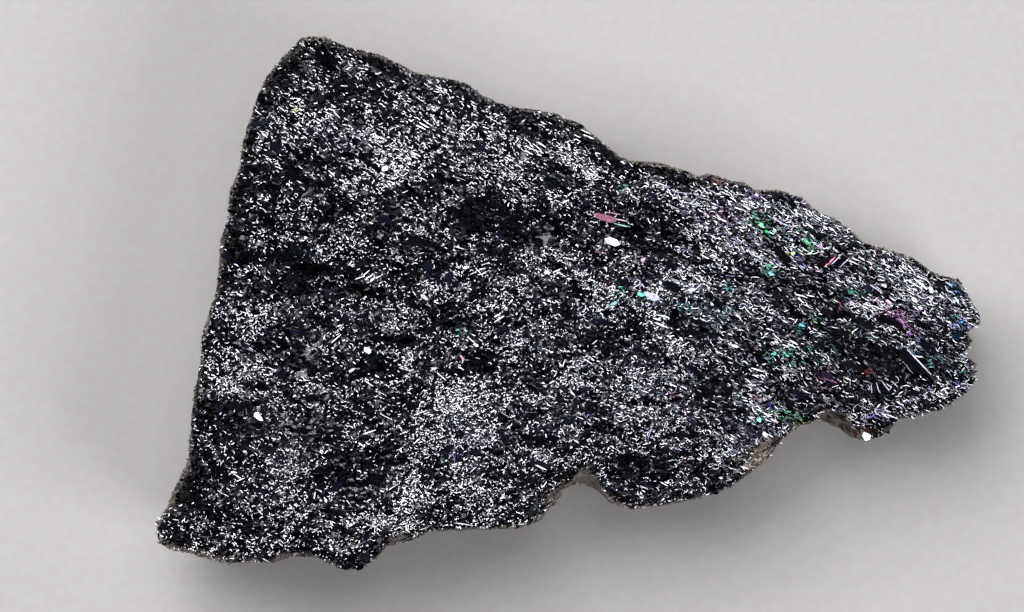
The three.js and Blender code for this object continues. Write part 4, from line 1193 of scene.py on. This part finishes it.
def writeCrowd(name, places, shades, pattern, material):
    # many small crystals of one pattern of faces, in pieces of few enough triangles
    each = sum(len(face) - 2 for face in pattern)
    points = places.shape[1]
    places = places.copy()
    places[..., 2] = np.maximum(places[..., 2], crust["clearance"])
    parts = math.ceil(len(places) * each / crust["mostTriangles"])
    for number, group in enumerate(np.array_split(np.arange(len(places)), parts)):
        faces = (np.arange(len(group)) * points)[:, None] + np.concatenate(pattern)
        sizes = np.tile([len(face) for face in pattern], len(group))
        piece = writePiece(f"{name}{number + 1}", places[group].reshape(-1, 3), faces.ravel(), sizes,
                           material)
        writeColours(piece, "shade", np.repeat(shades[group], points, axis=0))


def faceSplinters():
    # splinters all over the crystal face, most of them leaning a dark way, a few lighter and coloured in
    # the hazes
    random = np.random.default_rng(splinters["faceSeed"])
    weights = area * ease(*splinters["facing"], facing) * onFace
    at, up = scatter(splinters["faceCount"], weights, random)
    lay = layAt(at[:, 0], at[:, 1])
    dark = byLay(splinters["dark"], lay, splinters["darkLimits"])
    bright = byLay(splinters["bright"], lay, splinters["brightLimits"])
    places = splinterPlaces(at, up, dark, bright, random)
    thick, colours = hazeAt(at[:, 0], at[:, 1])
    shades = greys(random, len(at), *splinters["greys"])
    shades = mix(shades, colours, (hazeLook["onSplinters"] * thick * random.random(len(at)))[:, None])
    writeCrowd("darkSplinters", places, shades, splinterFaces, filmedCarbide)


def brightEdges():
    # an edge in a share of the cells, lit or faint, tinted or plain; the single lines and the
    # bundles go with them
    random = np.random.default_rng(edges["seed"])
    at, up = scatter(edges["crowd"], area * ease(*edges["facing"], facing) * onFace, random)
    kept, draw = spaced(at, random)
    at, up = at[kept], up[kept]
    patch, cast, colours = tintOf(at, random)
    lay = np.where(patch, edges["tintedLay"], layAt(at[:, 0], at[:, 1]))
    litShare = byLay(edges["lit"], lay, edges["litLimits"])
    thick, hazeColour = hazeAt(at[:, 0], at[:, 1])
    lit = draw < litShare
    faint = (draw > litShare) & (draw < litShare + edges["faint"][0] + edges["faint"][1] * thick)
    places = edgePlaces(at, up, lay, random)
    tinted, plain = (patch | cast) & lit, ~(patch | cast) & lit
    dull = mix(greys(random, len(at), *edges["faintGreys"]), hazeColour, hazeLook["onEdges"] * thick[:, None])
    writeCrowd("faintEdges", places[faint], dull[faint], edgeFaces, filmedCarbide)
    plainPlaces = np.concatenate([places[plain], linePlaces(bundleRows(random), random)])
    shades = greys(random, len(plainPlaces), *edges["greys"])
    writeCrowd("brightEdges", plainPlaces, shades, edgeFaces, darkCarbide)
    lineShades = [linear(row[6]) * singles["tintStrength"] for row in lines]
    tintedPlaces = np.concatenate([places[tinted], linePlaces([row[:6] for row in lines], random)])
    shades = np.concatenate([colours[tinted], lineShades])
    writeCrowd("heatTinted", tintedPlaces, shades, edgeFaces, temperedCarbide)


walls = {
    "seed": 59, "count": 18000,
    "rimFrom": 0.97, "rimExtra": 3,  # share of the height, and times as many more above it
    "lowest": (0.3, 2.5),  # mm above the rest over which they set in
    "brown": "#332d25", "tan": "#857863", "pale": "#b4a68a", "stainSpan": 6, "stainRise": 4,  # mm
    "greys": ("#0c0c0e", "#55565c", 1.5),
}


def wallSplinters():
    # splinters on the walls and the broken places, in no order, from clean grey to dusty brown,
    # palest where the dust is and along the upper right rim, where the pale is a painted highlight
    random = np.random.default_rng(walls["seed"])
    alongRim = 1 + walls["rimExtra"] * (level > walls["rimFrom"])
    weights = area * (1 - onFace) * ease(*walls["lowest"], middle[:, 2]) * alongRim * (level > 0)
    at, up = scatter(walls["count"], weights, random)
    x, y, z = at.T
    places = splinterPlaces(at, up, 0, 0, random)
    aslant = x / walls["stainSpan"] + z / walls["stainRise"]
    stain = smoothNoise(aslant, y / walls["stainSpan"], layers["stain"])[:, None]
    brown = mix(linear(walls["brown"]), linear(walls["tan"]), np.clip(0.5 + 0.6 * stain, 0, 1))
    # painted highlight: along the upper right rim this pale mix stands in for light on the rim; elsewhere
    # it is pale dust
    light = np.clip(hillsAt(x, y, paleDustAndRimHighlight), 0, 1)[:, None] * random.uniform(0.4, 1, (len(at), 1))
    brown = mix(brown, linear(walls["pale"]), light)
    shades = mix(brown, greys(random, len(at), *walls["greys"]), random.random((len(at), 1)) ** 2)
    writeCrowd("wallSplinters", places, shades, splinterFaces, dustyCarbide)


def singleFacets():
    # a nearly level prism of uneven outline for each row
    random = np.random.default_rng(singles["facetSeed"])
    x, y, length, width, heading, lift = np.array([row[:6] for row in facets], float).T
    at = surfaceAt(x, y, lift - singles["facetSink"])
    up = unit(random.normal(0, singles["facetLean"], (len(x), 3)) + np.array([0, 0, 1]))
    along, up = growth(at, up, heading, np.ones(len(at), bool), 0, random)
    ring = hexagons(length, width) * random.uniform(*singles["facetUneven"], (len(x), 6, 1))
    half = np.full(len(x), singles["facetThickness"] / 2)
    writeFaces("singleFacets", at, up, along, ring, half, [row[6] for row in facets], random)


faceSplinters()
brightEdges()
wallSplinters()
singleFacets()


# floor, lights and camera

studio = {
    "floor": "#9c9b95", "floorMottle": "#9a9892", "floorLevels": (0.4, 0.6),
    "floorGrain": 1.5, "floorHalf": 5000,  # mm
    "room": "#7a84b8", "roomStrength": 0.008, "lamp": "#f7f6ff",
    "cameraX": -8.5, "cameraY": -0.44, "cameraZ": 763, "lens": 180,  # mm
}

# softboxes: azimuth from +X towards +Y, angle from straight above, distance, width, height,
# brightness of the cloth
softboxes = {
    "keyUpperLeft": (128, 34, 900, 700, 560, 11.2),
    "fillLowerRight": (-38, 42, 900, 480, 420, 10),
    "topRear": (75, 14, 1000, 360, 300, 9.3),
}


def makeFloor():  # a level square as far as the camera sees
    half = studio["floorHalf"]
    mesh = bpy.data.meshes.new("floor")
    places = np.array([(-half, -half, 0), (half, -half, 0), (half, half, 0), (-half, half, 0)]) * metre
    mesh.from_pydata(places.tolist(), [], [(0, 1, 2, 3)])
    floor = bpy.data.objects.new("floor", mesh)
    bpy.context.scene.collection.objects.link(floor)
    material, tree = startMaterial("palePaintedBoard")  # matt paint, faintly mottled
    mottle = grained(tree, studio["floorGrain"], 3, 0.5, studio["floorLevels"])[1]
    colour = addNode(tree, "ShaderNodeMix", "Result", {
        "data_type": "RGBA", "A": rgba(studio["floor"]), "B": rgba(studio["floorMottle"])},
        {"Factor": mottle})
    finished(material, {"Roughness": 0.9}, {"Base Color": colour})
    mesh.materials.append(material)


def makeSoftbox(name, azimuth, fromTop, distance, width, height, brightness):
    # a lit cloth that faces the origin from its azimuth and angle; its power is its brightness
    # times pi times its area
    lamp = bpy.data.lights.new(name, "AREA")
    lamp.shape = "RECTANGLE"
    lamp.size, lamp.size_y = width * metre, height * metre
    lamp.energy = brightness * math.pi * lamp.size * lamp.size_y
    lamp.color = linear(studio["lamp"])
    box = bpy.data.objects.new(name, lamp)
    a, t = math.radians(azimuth), math.radians(fromTop)
    place = Vector((math.cos(a) * math.sin(t), math.sin(a) * math.sin(t), math.cos(t))) * distance * metre
    box.location = place
    box.rotation_euler = place.to_track_quat("Z", "Y").to_euler()
    bpy.context.scene.collection.objects.link(box)


def makeStudio():
    # the floor, the softboxes, a dim room around, and a camera that looks straight down
    makeFloor()
    for name, settings in softboxes.items():
        makeSoftbox(name, *settings)
    world = bpy.data.worlds.new("dimRoom")
    world.use_nodes = True
    back = world.node_tree.nodes["Background"]
    back.inputs["Color"].default_value = rgba(studio["room"])
    back.inputs["Strength"].default_value = studio["roomStrength"]
    scene = bpy.context.scene
    scene.world = world
    scene.view_settings.view_transform = "Standard"  # bright faces stay white and dark ones black
    camera = bpy.data.objects.new("camera", bpy.data.cameras.new("camera"))
    camera.data.lens = studio["lens"]
    camera.data.clip_start, camera.data.clip_end = 0.05, 20
    camera.location = Vector((studio["cameraX"], studio["cameraY"], studio["cameraZ"])) * metre
    scene.collection.objects.link(camera)
    scene.camera = camera


makeStudio()
print("floor, lights and camera set")
